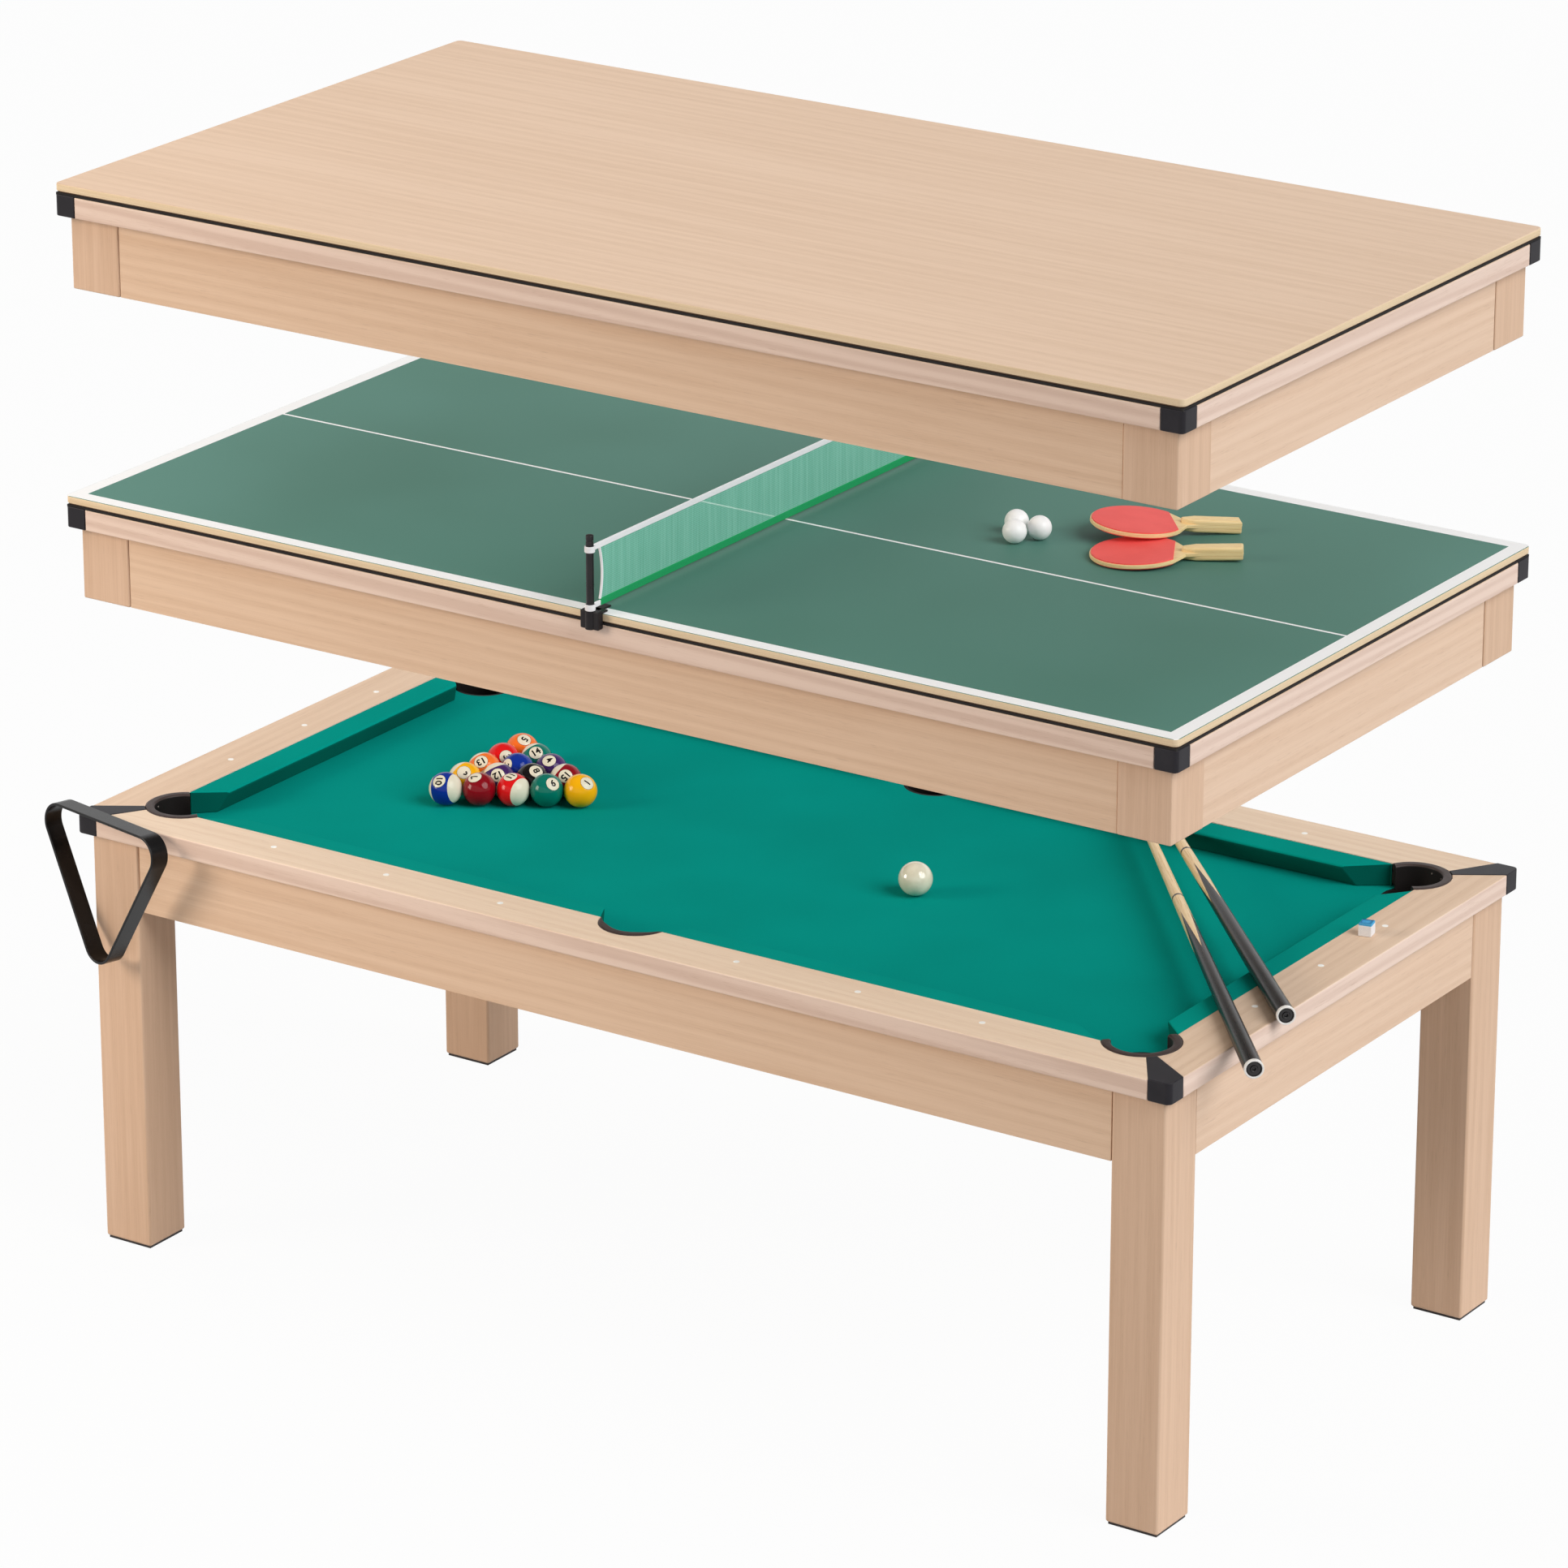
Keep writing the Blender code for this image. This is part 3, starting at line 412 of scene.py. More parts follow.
RAIL_ALONG = AshWood("rail_ash_along", Grain.ALONG, (240, 216, 191), (230, 202, 175))
RAIL_ACROSS = AshWood("rail_ash_across", Grain.ACROSS, (232, 204, 178), (220, 189, 161))
EDGE_ALONG = AshWood("rail_edge_along", Grain.ALONG, (236, 211, 195), (221, 193, 176), figured=0.26)
EDGE_ACROSS = AshWood("rail_edge_across", Grain.ACROSS, (238, 214, 199), (225, 198, 182), figured=0.24)
APRON_ALONG = AshWood("apron_ash_along", Grain.ALONG, (234, 203, 175), (222, 188, 158))
APRON_ACROSS = AshWood("apron_ash_across", Grain.ACROSS, (234, 205, 180), (224, 192, 165))
WOODS_ALONG = (APRON_ALONG, RAIL_ALONG, EDGE_ALONG)
WOODS_ACROSS = (APRON_ACROSS, RAIL_ACROSS, EDGE_ACROSS)
UPRIGHT = AshWood("leg_ash", Grain.UPRIGHT, (226, 193, 166), (213, 178, 149), figured=0.04)


@dataclass(frozen=True)
class BoardEdge(Finish):
    """The sanded edge of a board, a yellower beige with faint layers."""

    name: str
    pale: Colour = (240, 217, 182)
    dark: Colour = (226, 200, 162)

    def lay(self, paint: Paint) -> None:
        """Add the nodes of this finish.

        Args:
            paint: The nodes of its material.
        """
        place = paint.place()
        grit = paint.noise(place, 900.0, 3.0, 0.6)
        layers = paint.noise(paint.stretched(place, (6.0, 6.0, 700.0)), detail=2.0)
        shade = 0.5 * grit + 0.5 * layers
        paint.set(
            base_color=paint.ramp(paint.step(shade, 0.35, 0.65), [(0.0, self.dark), (1.0, self.pale)]),
            roughness=0.6 + 0.15 * grit,
            normal=paint.bump(shade, 0.0002, 0.4),
        )


@dataclass(frozen=True)
class CourtPaint(Finish):
    """Matt green paint with a white border and a thin centre line."""

    name: str
    half_length: float
    half_width: float
    green: Colour = (84, 131, 119)
    deep: Colour = (78, 124, 111)
    white: Colour = (250, 251, 252)
    border: float = 0.0265
    margin: float = 0.0012
    centre_line: float = 0.0055

    def lay(self, paint: Paint) -> None:
        """Add the nodes of this finish.

        Args:
            paint: The nodes of its material.
        """
        place = paint.place()
        x, y, _ = paint.parts(place)
        near_edge = paint.math("MINIMUM", self.half_length - abs(x), self.half_width - abs(y))
        border = (near_edge < self.border) * (near_edge > self.margin)
        line = (abs(y) < self.centre_line / 2) * (near_edge > self.margin)
        lines = border.either(line)
        blotch = paint.noise(place, 1.6, 2.0)
        speck = paint.noise(place, 1400.0, 2.0)
        green = paint.mix(paint.step(blotch, 0.35, 0.65), self.deep, self.green)
        paint.set(
            base_color=paint.mix(lines, green, self.white),
            roughness=0.52 + 0.12 * speck,
            normal=paint.bump(0.6 * speck + 0.4 * lines, 0.00006, 0.5),
            specular_ior_level=0.2,
        )


@dataclass(frozen=True)
class PlayingCloth(Finish):
    """Short-napped teal cloth."""

    name: str
    lit: Colour = (0, 151, 140)
    shaded: Colour = (0, 142, 131)

    def lay(self, paint: Paint) -> None:
        """Add the nodes of this finish.

        Args:
            paint: The nodes of its material.
        """
        place = paint.place()
        nap = paint.noise(place, 1500.0, 3.0, 0.7)
        weave_x = paint.noise(paint.stretched(place, (260.0, 2600.0, 2600.0)), detail=1.0)
        weave_y = paint.noise(paint.stretched(place, (2600.0, 260.0, 2600.0)), detail=1.0)
        weave = 0.3 * weave_x + 0.3 * weave_y + 0.4 * nap
        brushed = paint.noise(place, 3.2, 2.0)
        shade = 0.55 * weave + 0.45 * brushed
        paint.set(
            base_color=paint.ramp(paint.step(shade, 0.38, 0.62), [(0.0, self.shaded), (1.0, self.lit)]),
            roughness=0.86 + 0.1 * nap,
            normal=paint.bump(weave, 0.0003, 0.5),
            specular_ior_level=0.04,
        )


@dataclass(frozen=True)
class MouldedPlastic(Finish):
    """Moulded plastic with a fine spark-eroded skin."""

    name: str
    colour: Colour = (33, 31, 36)
    worn: Colour = (41, 39, 44)
    roughness: float = 0.38
    skin: float = 0.00006
    shine: float = 0.18

    def lay(self, paint: Paint) -> None:
        """Add the nodes of this finish.

        Args:
            paint: The nodes of its material.
        """
        place = paint.place()
        skin = paint.noise(place, 2200.0, 2.0, 0.6)
        smear = paint.noise(place, 24.0, 3.0)
        paint.set(
            base_color=paint.mix(paint.step(smear, 0.4, 0.75), self.colour, self.worn),
            roughness=self.roughness + 0.12 * smear,
            normal=paint.bump(skin, self.skin, 0.6),
            specular_ior_level=self.shine,
        )


@dataclass(frozen=True)
class Leather(Finish):
    """Dark pebbled leather or its moulded likeness."""

    name: str
    colour: Colour
    crease: Colour
    roughness: float

    def lay(self, paint: Paint) -> None:
        """Add the nodes of this finish.

        Args:
            paint: The nodes of its material.
        """
        place = paint.place()
        cells = paint.node(
            "ShaderNodeTexVoronoi", {"feature": "DISTANCE_TO_EDGE"}, {"Vector": place, "Scale": 700.0}
        )
        pebble = paint.step(cells, 0.0, 0.22)
        soft = paint.noise(place, 60.0, 3.0)
        paint.set(
            base_color=paint.mix(pebble, self.crease, self.colour),
            roughness=self.roughness + 0.2 * soft,
            normal=paint.bump(pebble * soft, 0.00012, 0.5),
            specular_ior_level=0.2,
        )


@dataclass(frozen=True)
class WovenTape(Finish):
    """Woven tape, with its threads along and across."""

    name: str
    light: Colour
    dark: Colour
    pitch: float = 0.0012

    def lay(self, paint: Paint) -> None:
        """Add the nodes of this finish.

        Args:
            paint: The nodes of its material.
        """
        _, y, z = paint.parts(paint.place())
        turns = 2 * math.pi / self.pitch
        threads = paint.math("SINE", y * turns) * paint.math("SINE", z * turns)
        fuzz = paint.noise(paint.place(), 800.0, 2.0)
        shade = paint.step(threads * 0.5 + fuzz, 0.2, 0.8)
        paint.set(
            base_color=paint.mix(shade, self.dark, self.light),
            roughness=0.75 + 0.15 * fuzz,
            normal=paint.bump(shade, 0.00012, 0.5),
        )


@dataclass(frozen=True)
class NetMesh(Finish):
    """Sheer green mesh: fine strands with holes between them, and painted shade in streaks along its folds.
    """

    name: str
    strand: Colour = (146, 224, 200)
    # Darker tone in the folds: painted shade
    fold_shade: Colour = (132, 214, 188)
    pitch: float = 0.0032
    strand_alpha: float = 0.68
    hole_alpha: float = 0.46

    def lay(self, paint: Paint) -> None:
        """Add the nodes of this finish.

        Args:
            paint: The nodes of its material.
        """
        place = paint.place()
        _, y, z = paint.parts(place)
        turns = math.pi / self.pitch
        across = abs(paint.math("SINE", y * turns))
        up = abs(paint.math("SINE", z * turns))
        hole = paint.step(paint.math("MINIMUM", across, up), 0.30, 0.55)
        fold = paint.noise(paint.stretched(place, (1.0, 120.0, 6.0)), detail=3.0)
        veil = self.strand_alpha - (self.strand_alpha - self.hole_alpha) * hole
        paint.set(
            # The fold streaks mix in the painted shade colour
            base_color=paint.mix(paint.step(fold, 0.3, 0.7), self.fold_shade, self.strand),
            roughness=0.6 + 0.1 * fold,
            alpha=veil + 0.06 * (fold - 0.5),
            normal=paint.bump(fold, 0.0005, 0.3),
            specular_ior_level=0.1,
        )


@dataclass(frozen=True)
class Ivory(Finish):
    """Polished cream resin, or a satin white shell."""

    name: str
    colour: Colour = (236, 228, 205)
    shade: Colour = (228, 218, 194)
    roughness: float = 0.08
    coat: float = 0.5

    def lay(self, paint: Paint) -> None:
        """Add the nodes of this finish.

        Args:
            paint: The nodes of its material.
        """
        cloud = paint.noise(paint.place(), 70.0, 2.0)
        paint.set(
            base_color=paint.mix(paint.step(cloud, 0.3, 0.7), self.shade, self.colour),
            roughness=self.roughness + 0.04 * cloud,
            coat_weight=self.coat,
        )


@dataclass(frozen=True)
class BallResin(Finish):
    """Polished resin with an ivory spot in a thin ring and, on half of the balls, ivory ends."""

    name: str
    colour: Colour
    striped: bool
    ivory: Colour = (232, 224, 202)
    ink: Colour = (22, 19, 21)
    band: float = 0.54
    spot: float = 0.912
    ring: float = 0.008

    def lay(self, paint: Paint) -> None:
        """Add the nodes of this finish.

        Args:
            paint: The nodes of its material.
        """
        x, _, z = paint.parts(paint.attribute("on_ball"))
        facing = abs(x)
        colour: Any = self.colour
        if self.striped:
            colour = paint.mix(abs(z) > self.band, self.colour, self.ivory)
        colour = paint.mix(facing > self.spot - self.ring, colour, self.ink)
        colour = paint.mix(facing > self.spot, colour, self.ivory)
        cloud = paint.noise(paint.place(), 90.0, 2.0)
        paint.set(base_color=colour, roughness=0.10 + 0.03 * cloud, specular_ior_level=0.22)


@dataclass(frozen=True)
class BatRubber(Finish):
    """Red rubber with rows of short pips under its skin."""

    name: str
    colour: Colour = (244, 88, 84)
    pale: Colour = (250, 98, 94)

    def lay(self, paint: Paint) -> None:
        """Add the nodes of this finish.

        Args:
            paint: The nodes of its material.
        """
        place = paint.place()
        pips = paint.node("ShaderNodeTexVoronoi", {"feature": "F1"}, {"Vector": place, "Scale": 520.0})
        dust = paint.noise(place, 16.0, 3.0)
        paint.set(
            base_color=paint.mix(paint.step(dust, 0.35, 0.65), self.colour, self.pale),
            roughness=0.52 + 0.15 * dust,
            normal=paint.bump(paint.step(pips, 0.1, 0.6), 0.00005, 0.4),
        )


@dataclass(frozen=True)
class BatPly(Finish):
    """Pale basswood, with its layers on the edge."""

    name: str
    pale: Colour = (248, 222, 168)
    dark: Colour = (236, 202, 142)
    turn: float = 0.0

    def lay(self, paint: Paint) -> None:
        """Add the nodes of this finish.

        Args:
            paint: The nodes of its material.
        """
        sockets = {"Vector": paint.place(), "Angle": -self.turn}
        turned = paint.node("ShaderNodeVectorRotate", {"rotation_type": "Z_AXIS"}, sockets)
        fibre = paint.noise(paint.stretched(turned, (9.0, 320.0, 900.0)), detail=4.0, rough=0.6)
        paint.set(
            base_color=paint.ramp(paint.step(fibre, 0.3, 0.7), [(0.0, self.dark), (1.0, self.pale)]),
            roughness=0.45 + 0.15 * fibre,
            normal=paint.bump(fibre, 0.0001, 0.4),
        )


@dataclass(frozen=True)
class CueWood(Finish):
    """Pale maple whose long points run into a lacquered black butt, with a joint ring above."""

    name: str
    length: float
    pale: Colour = (246, 216, 168)
    grain: Colour = (232, 196, 142)
    black: Colour = (26, 21, 22)
    veneer: Colour = (122, 72, 40)
    points: int = 4
    low_tip: float = 0.49
    high_tip: float = 0.66
    ring: float = 0.735
    ring_width: float = 0.006
    veneer_width: float = 0.006
    phase: float = 0.6

    def lay(self, paint: Paint) -> None:
        """Add the nodes of this finish.

        Args:
            paint: The nodes of its material.
        """
        across, up, along = paint.parts(paint.attribute("on_cue"))
        turn = paint.math("ARCTAN2", up, across) * (self.points / (2 * math.pi)) + (self.points + self.phase)
        saw = abs(paint.math("FRACT", turn) - 0.5) * 2.0
        reach = self.low_tip + (self.high_tip - self.low_tip) * saw
        fibre = paint.noise(paint.stretched(paint.attribute("on_cue"), (3.0, 3.0, 14.0)), detail=4.0)
        wood = paint.ramp(paint.step(fibre, 0.3, 0.7), [(0.0, self.grain), (1.0, self.pale)])
        butt = along < reach
        edge = (along < reach + self.veneer_width) * (1.0 - butt)
        colour = paint.mix(0.8 * edge, wood, self.veneer)
        colour = paint.mix(butt, colour, self.black)
        ringed = abs(along - self.ring) < self.ring_width / 2
        paint.set(
            base_color=paint.mix(ringed, colour, self.black),
            roughness=0.24 + 0.08 * fibre,
            specular_ior_level=0.3,
        )


@dataclass(frozen=True)
class ChalkDust(Finish):
    """Pressed chalk, or the paper round it."""

    name: str
    colour: Colour
    pit: Colour
    depth: float

    def lay(self, paint: Paint) -> None:
        """Add the nodes of this finish.

        Args:
            paint: The nodes of its material.
        """
        grit = paint.noise(paint.place(), 700.0, 4.0, 0.7)
        paint.set(
            base_color=paint.mix(paint.step(grit, 0.35, 0.65), self.pit, self.colour),
            roughness=0.85 + 0.1 * grit,
            normal=paint.bump(grit, self.depth, 0.6),
        )


class Shape:
    """A mesh in the making, with the few steps that the pieces of this table share."""

    def __init__(self) -> None:
        """Start an empty mesh."""
        self.bm = bmesh.new()

    @classmethod
    def block(cls, low: Sequence[float], high: Sequence[float]) -> "Shape":
        """A block between two corners.

        Args:
            low: Its lowest corner.
            high: Its highest.

        Returns:
            The block.
        """
        shape = cls()
        low, high = Vector(low), Vector(high)
        bmesh.ops.create_cube(shape.bm, size=1.0)
        bmesh.ops.scale(shape.bm, vec=high - low, verts=shape.bm.verts)
        bmesh.ops.translate(shape.bm, vec=(low + high) / 2, verts=shape.bm.verts)
        return shape

    @classmethod
    def of_node(cls, node: str) -> "Shape":
        """A copy of a CAD node with its loose triangles made whole faces.

        Args:
            node: The node's name.

        Returns:
            The copy.
        """
        shape = cls()
        shape.bm.from_mesh(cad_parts[node].data)
        bmesh.ops.remove_doubles(shape.bm, verts=shape.bm.verts, dist=WELD)
        bmesh.ops.dissolve_limit(shape.bm, angle_limit=FLAT, verts=shape.bm.verts, edges=shape.bm.edges)
        return shape

    @classmethod
    def plate(cls, outline: Sequence[Point], low: float, high: float) -> "Shape":
        """A flat outline raised from one height to another.

        Args:
            outline: Its corners in order.
            low: The lower height.
            high: The upper height.

        Returns:
            The plate.
        """
        shape = cls()
        shape.bm.faces.new([shape.bm.verts.new((x, y, low)) for x, y in outline])
        return shape.raised(high - low)

    @classmethod
    def hoop(cls, outer: Sequence[Point], inner: Sequence[Point], low: float, high: float) -> "Shape":
        """A flat ring raised from one height to another.

        Args:
            outer: Its outer outline.
            inner: Its inner outline, of as many points.
            low: The lower height.
            high: The upper height.

        Returns:
            The hoop.
        """
        shape = cls()
        for outline in (outer, inner):
            verts = [shape.bm.verts.new((x, y, low)) for x, y in outline]
            for first, second in zip(verts, verts[1:] + verts[:1]):
                shape.bm.edges.new((first, second))
        bmesh.ops.bridge_loops(shape.bm, edges=shape.bm.edges)
        return shape.raised(high - low)

    @classmethod
    def turned(cls, profile: Sequence[Point], steps: int) -> "Shape":
        """A profile of radius and height turned once about Z.

        Args:
            profile: Radii and heights.
            steps: Faces round it.

        Returns:
            The turned shape.
        """
        shape = cls()
        verts = [shape.bm.verts.new((radius, 0, height)) for radius, height in profile]
        for first, second in zip(verts, verts[1:]):
            shape.bm.edges.new((first, second))
        bmesh.ops.spin(
            shape.bm, geom=shape.bm.verts[:] + shape.bm.edges[:], cent=(0, 0, 0), axis=(0, 0, 1),
            angle=2 * math.pi, steps=steps, use_merge=True,
        )
        bmesh.ops.remove_doubles(shape.bm, verts=shape.bm.verts, dist=WELD)
        return shape.righted()

    @classmethod
    def cylinder(cls, radius: float, low: float, high: float, steps: int) -> "Shape":
        """A closed cylinder about Z, from one height to another."""
        return cls.turned([(0, low), (radius, low), (radius, high), (0, high)], steps)

    @classmethod
    def ball(cls, radius: float, segments: int = 64, rings: int = 32) -> "Shape":
        """A ball about the origin.

        Args:
            radius: Its radius.
            segments: Faces round it.
            rings: Faces from pole to pole.

        Returns:
            The ball.
        """
        shape = cls()
        bmesh.ops.create_uvsphere(shape.bm, u_segments=segments, v_segments=rings, radius=radius)
        return shape

    def raised(self, rise: float) -> "Shape":
        """Raise flat faces into a solid.

        Args:
            rise: The solid's height.

        Returns:
            This shape.
        """
        made = bmesh.ops.extrude_face_region(self.bm, geom=self.bm.faces[:])["geom"]
        top = [item for item in made if isinstance(item, bmesh.types.BMVert)]
        bmesh.ops.translate(self.bm, vec=(0, 0, rise), verts=top)
        return self.righted()

    def righted(self) -> "Shape":
        """Turn every face outwards."""
        bmesh.ops.recalc_face_normals(self.bm, faces=self.bm.faces)
        return self

    def moved(self, place: Union[Matrix, Sequence[float]]) -> "Shape":
        """Move by a matrix or an offset.

        Args:
            place: The matrix or the offset.

        Returns:
            This shape.
        """
        matrix = place if isinstance(place, Matrix) else Matrix.Translation(Vector(place))
        self.bm.transform(matrix)
        return self

    def softened(
        self,
        width: float,
        segments: int = 3,
        over: float = 30.0,
        where: Optional[Callable[[bmesh.types.BMEdge], bool]] = None,
    ) -> "Shape":
        """Round the sharp edges.

        Args:
            width: How far the rounding runs from each edge.
            segments: Faces across it.
            over: Least angle of an edge that counts as sharp, in degrees.
            where: A test that picks among them.

        Returns:
            This shape.
        """
        least = math.radians(over)
        edges = [
            edge for edge in self.bm.edges
            if len(edge.link_faces) == 2 and edge.calc_face_angle() > least and (where is None or where(edge))
        ]
        bmesh.ops.bevel(
            self.bm, geom=edges, offset=width, segments=segments, profile=0.5,
            affect="EDGES", clamp_overlap=True, material=-1,
        )
        return self

    def cut(self, point: Sequence[float], normal: Sequence[float]) -> "Shape":
        """Cut away what lies beyond a plane and close the cut.

        Args:
            point: A point of the plane.
            normal: The side that goes.

        Returns:
            This shape.
        """
        geom = self.bm.verts[:] + self.bm.edges[:] + self.bm.faces[:]
        bmesh.ops.bisect_plane(
            self.bm, geom=geom, dist=WELD, plane_co=point, plane_no=normal, clear_outer=True
        )
        rim = [edge for edge in self.bm.edges if edge.is_boundary]
        bmesh.ops.holes_fill(self.bm, edges=rim, sides=0)
        return self.righted()

    def joined(self, other: "Shape") -> "Shape":
        """Take in another shape's mesh.

        Args:
            other: The shape, which is used up.

        Returns:
            This shape.
        """
        mesh = bpy.data.meshes.new("joining")
        other.bm.to_mesh(mesh)
        other.bm.free()
        self.bm.from_mesh(mesh)
        bpy.data.meshes.remove(mesh)
        return self

    def spent(self, name: str) -> bpy.types.Object:
        """Turn this shape into an object of the scene, which uses it up.

        Args:
            name: The name of the object and its mesh.

        Returns:
            The object.
        """
        mesh = bpy.data.meshes.new(name)
        self.bm.to_mesh(mesh)
        self.bm.free()
        made = bpy.data.objects.new(name, mesh)
        bpy.context.scene.collection.objects.link(made)
        return made

    def put(
        self,
        name: str,
        body: str,
        slot: str,
        finishes: Union[Finish, Sequence[Finish]],
        replaces: Iterable[str] = (),
        choose: Optional[Callable[[bmesh.types.BMFace], int]] = None,
        mark: Optional[tuple[str, Callable[[Vector], Vector]]] = None,
        sharp: float = 40.0,
    ) -> bpy.types.Object:
        """Finish the mesh as a piece of the table.

        Args:
            name: The piece's name.
            body: The CAD body that it rides on.
            slot: The record's material slot; not used.
            finishes: One finish, or several for choose to pick from.
            replaces: CAD nodes that it stands for.
            choose: Which finish each face takes.
            mark: A name for an attribute, and what it holds at each point.
            sharp: Angle over which an edge shades as sharp, in degrees.

        Returns:
            The piece, at the origin, with its place in its mesh.
        """
        several = [finishes] if isinstance(finishes, Finish) else list(finishes)
        if choose is not None:
            for face in self.bm.faces:
                face.normal_update()
                face.material_index = choose(face)
        piece = self.spent(name)
        mesh = piece.data
        for finish in several:
            mesh.materials.append(finish.material())
        mesh.shade_smooth()
        mesh.set_sharp_from_angle(angle=math.radians(sharp))
        if mark is not None:
            values = mesh.attributes.new(mark[0], "FLOAT_VECTOR", "POINT").data
            for value, vert in zip(values, mesh.vertices):
                value.vector = mark[1](vert.co)
        weighted = piece.modifiers.new("flat faces stay flat", "WEIGHTED_NORMAL")
        weighted.keep_sharp = True
        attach(piece, body)
        PIECES.setdefault(body, []).append(piece)
        replaced = list(replaces)
        if replaced:
            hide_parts(*replaced)
        log.info("%s: %d faces on %s", name, len(mesh.polygons), body)
        return piece


def dress_node(node: str, finish: Finish) -> None:
    """Give a CAD node of the table that keeps its shape its finish.

    Args:
        node: The node's name.
        finish: Its finish.
    """
    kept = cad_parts[node]
    PIECES.setdefault("table", []).append(kept)
    kept.data.materials.clear()
    kept.data.materials.append(finish.material())
    log.info("%s keeps its shape", node)


def arc(centre: Point, radius: float, start: float, end: float, steps: int) -> list[Point]:
    """Points along an arc, both ends included."""
    turns = [start + (end - start) * step / steps for step in range(steps + 1)]
    return [(centre[0] + radius * math.cos(a), centre[1] + radius * math.sin(a)) for a in turns]


def circle(centre: Point, radius: float, steps: int) -> list[Point]:
    """Points round a circle."""
    return arc(centre, radius, 0.0, 2 * math.pi, steps)[:-1]


def rails() -> Span:
    """The box round the pool table's four rails, which from above is the table's own."""
    return Span.of("rail_near", "rail_far", "rail_left", "rail_right")


def from_corner(points: Iterable[Point], sx: int, sy: int) -> list[Point]:
    """Points given inwards from a corner of the table, placed at the corner of those signs."""
    half = rails().size / 2
    return [(sx * (half.x - x), sy * (half.y - y)) for x, y in points]


def between(points: Iterable[Point], low: float, high: float) -> Shape:
    """A block that spans some points, from one height to another."""
    xs, ys = (sorted(values) for values in zip(*points))
    return Shape.block((xs[0], ys[0], low), (xs[-1], ys[-1], high))


def at_side(side: str, half: Vector, points: Iterable[Point]) -> list[Point]:
    """Place points on a side or end.

    Args:
        side: Which side or end.
        half: Half the size of what it belongs to.
        points: How far each lies along it, and inwards from it.

    Returns:
        The same points as X and Y.
    """
    axis, sign = OUTWARDS[side]
    placed = [(along, sign * (half[axis] - inwards)) for along, inwards in points]
    return placed if side in SIDES else [(out, along) for along, out in placed]


def woods(side: str) -> tuple[AshWood, AshWood, AshWood]:
    """The finishes of an apron, a rail's top and a rail's edge on a side or end."""
    return WOODS_ALONG if side in SIDES else WOODS_ACROSS


def mirrored(points: Sequence[Point]) -> list[Point]:
    """Points, followed by their images beyond the X axis back to the start."""
    return [*points, *((x, -y) for x, y in reversed(points))]


def lying_at(axis: int, level: float) -> Callable[[bmesh.types.BMEdge], bool]:
    """A test for the edges that lie in the plane at a level of X, Y or Z."""
    return lambda edge: all(abs(vert.co[axis] - level) < WELD for vert in edge.verts)


def upward(face: bmesh.types.BMFace) -> int:
    """0 for faces that look up or down, and 1 for the others."""
    return 0 if abs(face.normal.z) > LEVEL_FACE else 1


def carve(shape: Shape, tool: Shape) -> Shape:
    """Cut one shape out of another.

    Args:
        shape: What is cut.
        tool: What is taken away, which is used up.

    Returns:
        A new shape.
    """
    holders = [shape.spent("carving"), tool.spent("carving")]
    boolean = holders[0].modifiers.new("cut", "BOOLEAN")
    boolean.operation = "DIFFERENCE"
    boolean.solver = "EXACT"
    boolean.object = holders[1]
    bpy.context.view_layer.update()
    seen = holders[0].evaluated_get(bpy.context.evaluated_depsgraph_get())
    result = Shape()
    result.bm.from_mesh(seen.data)
    for holder in holders:
        bpy.data.objects.remove(holder, do_unlink=True)
    bmesh.ops.remove_doubles(result.bm, verts=result.bm.verts, dist=WELD)
    return result


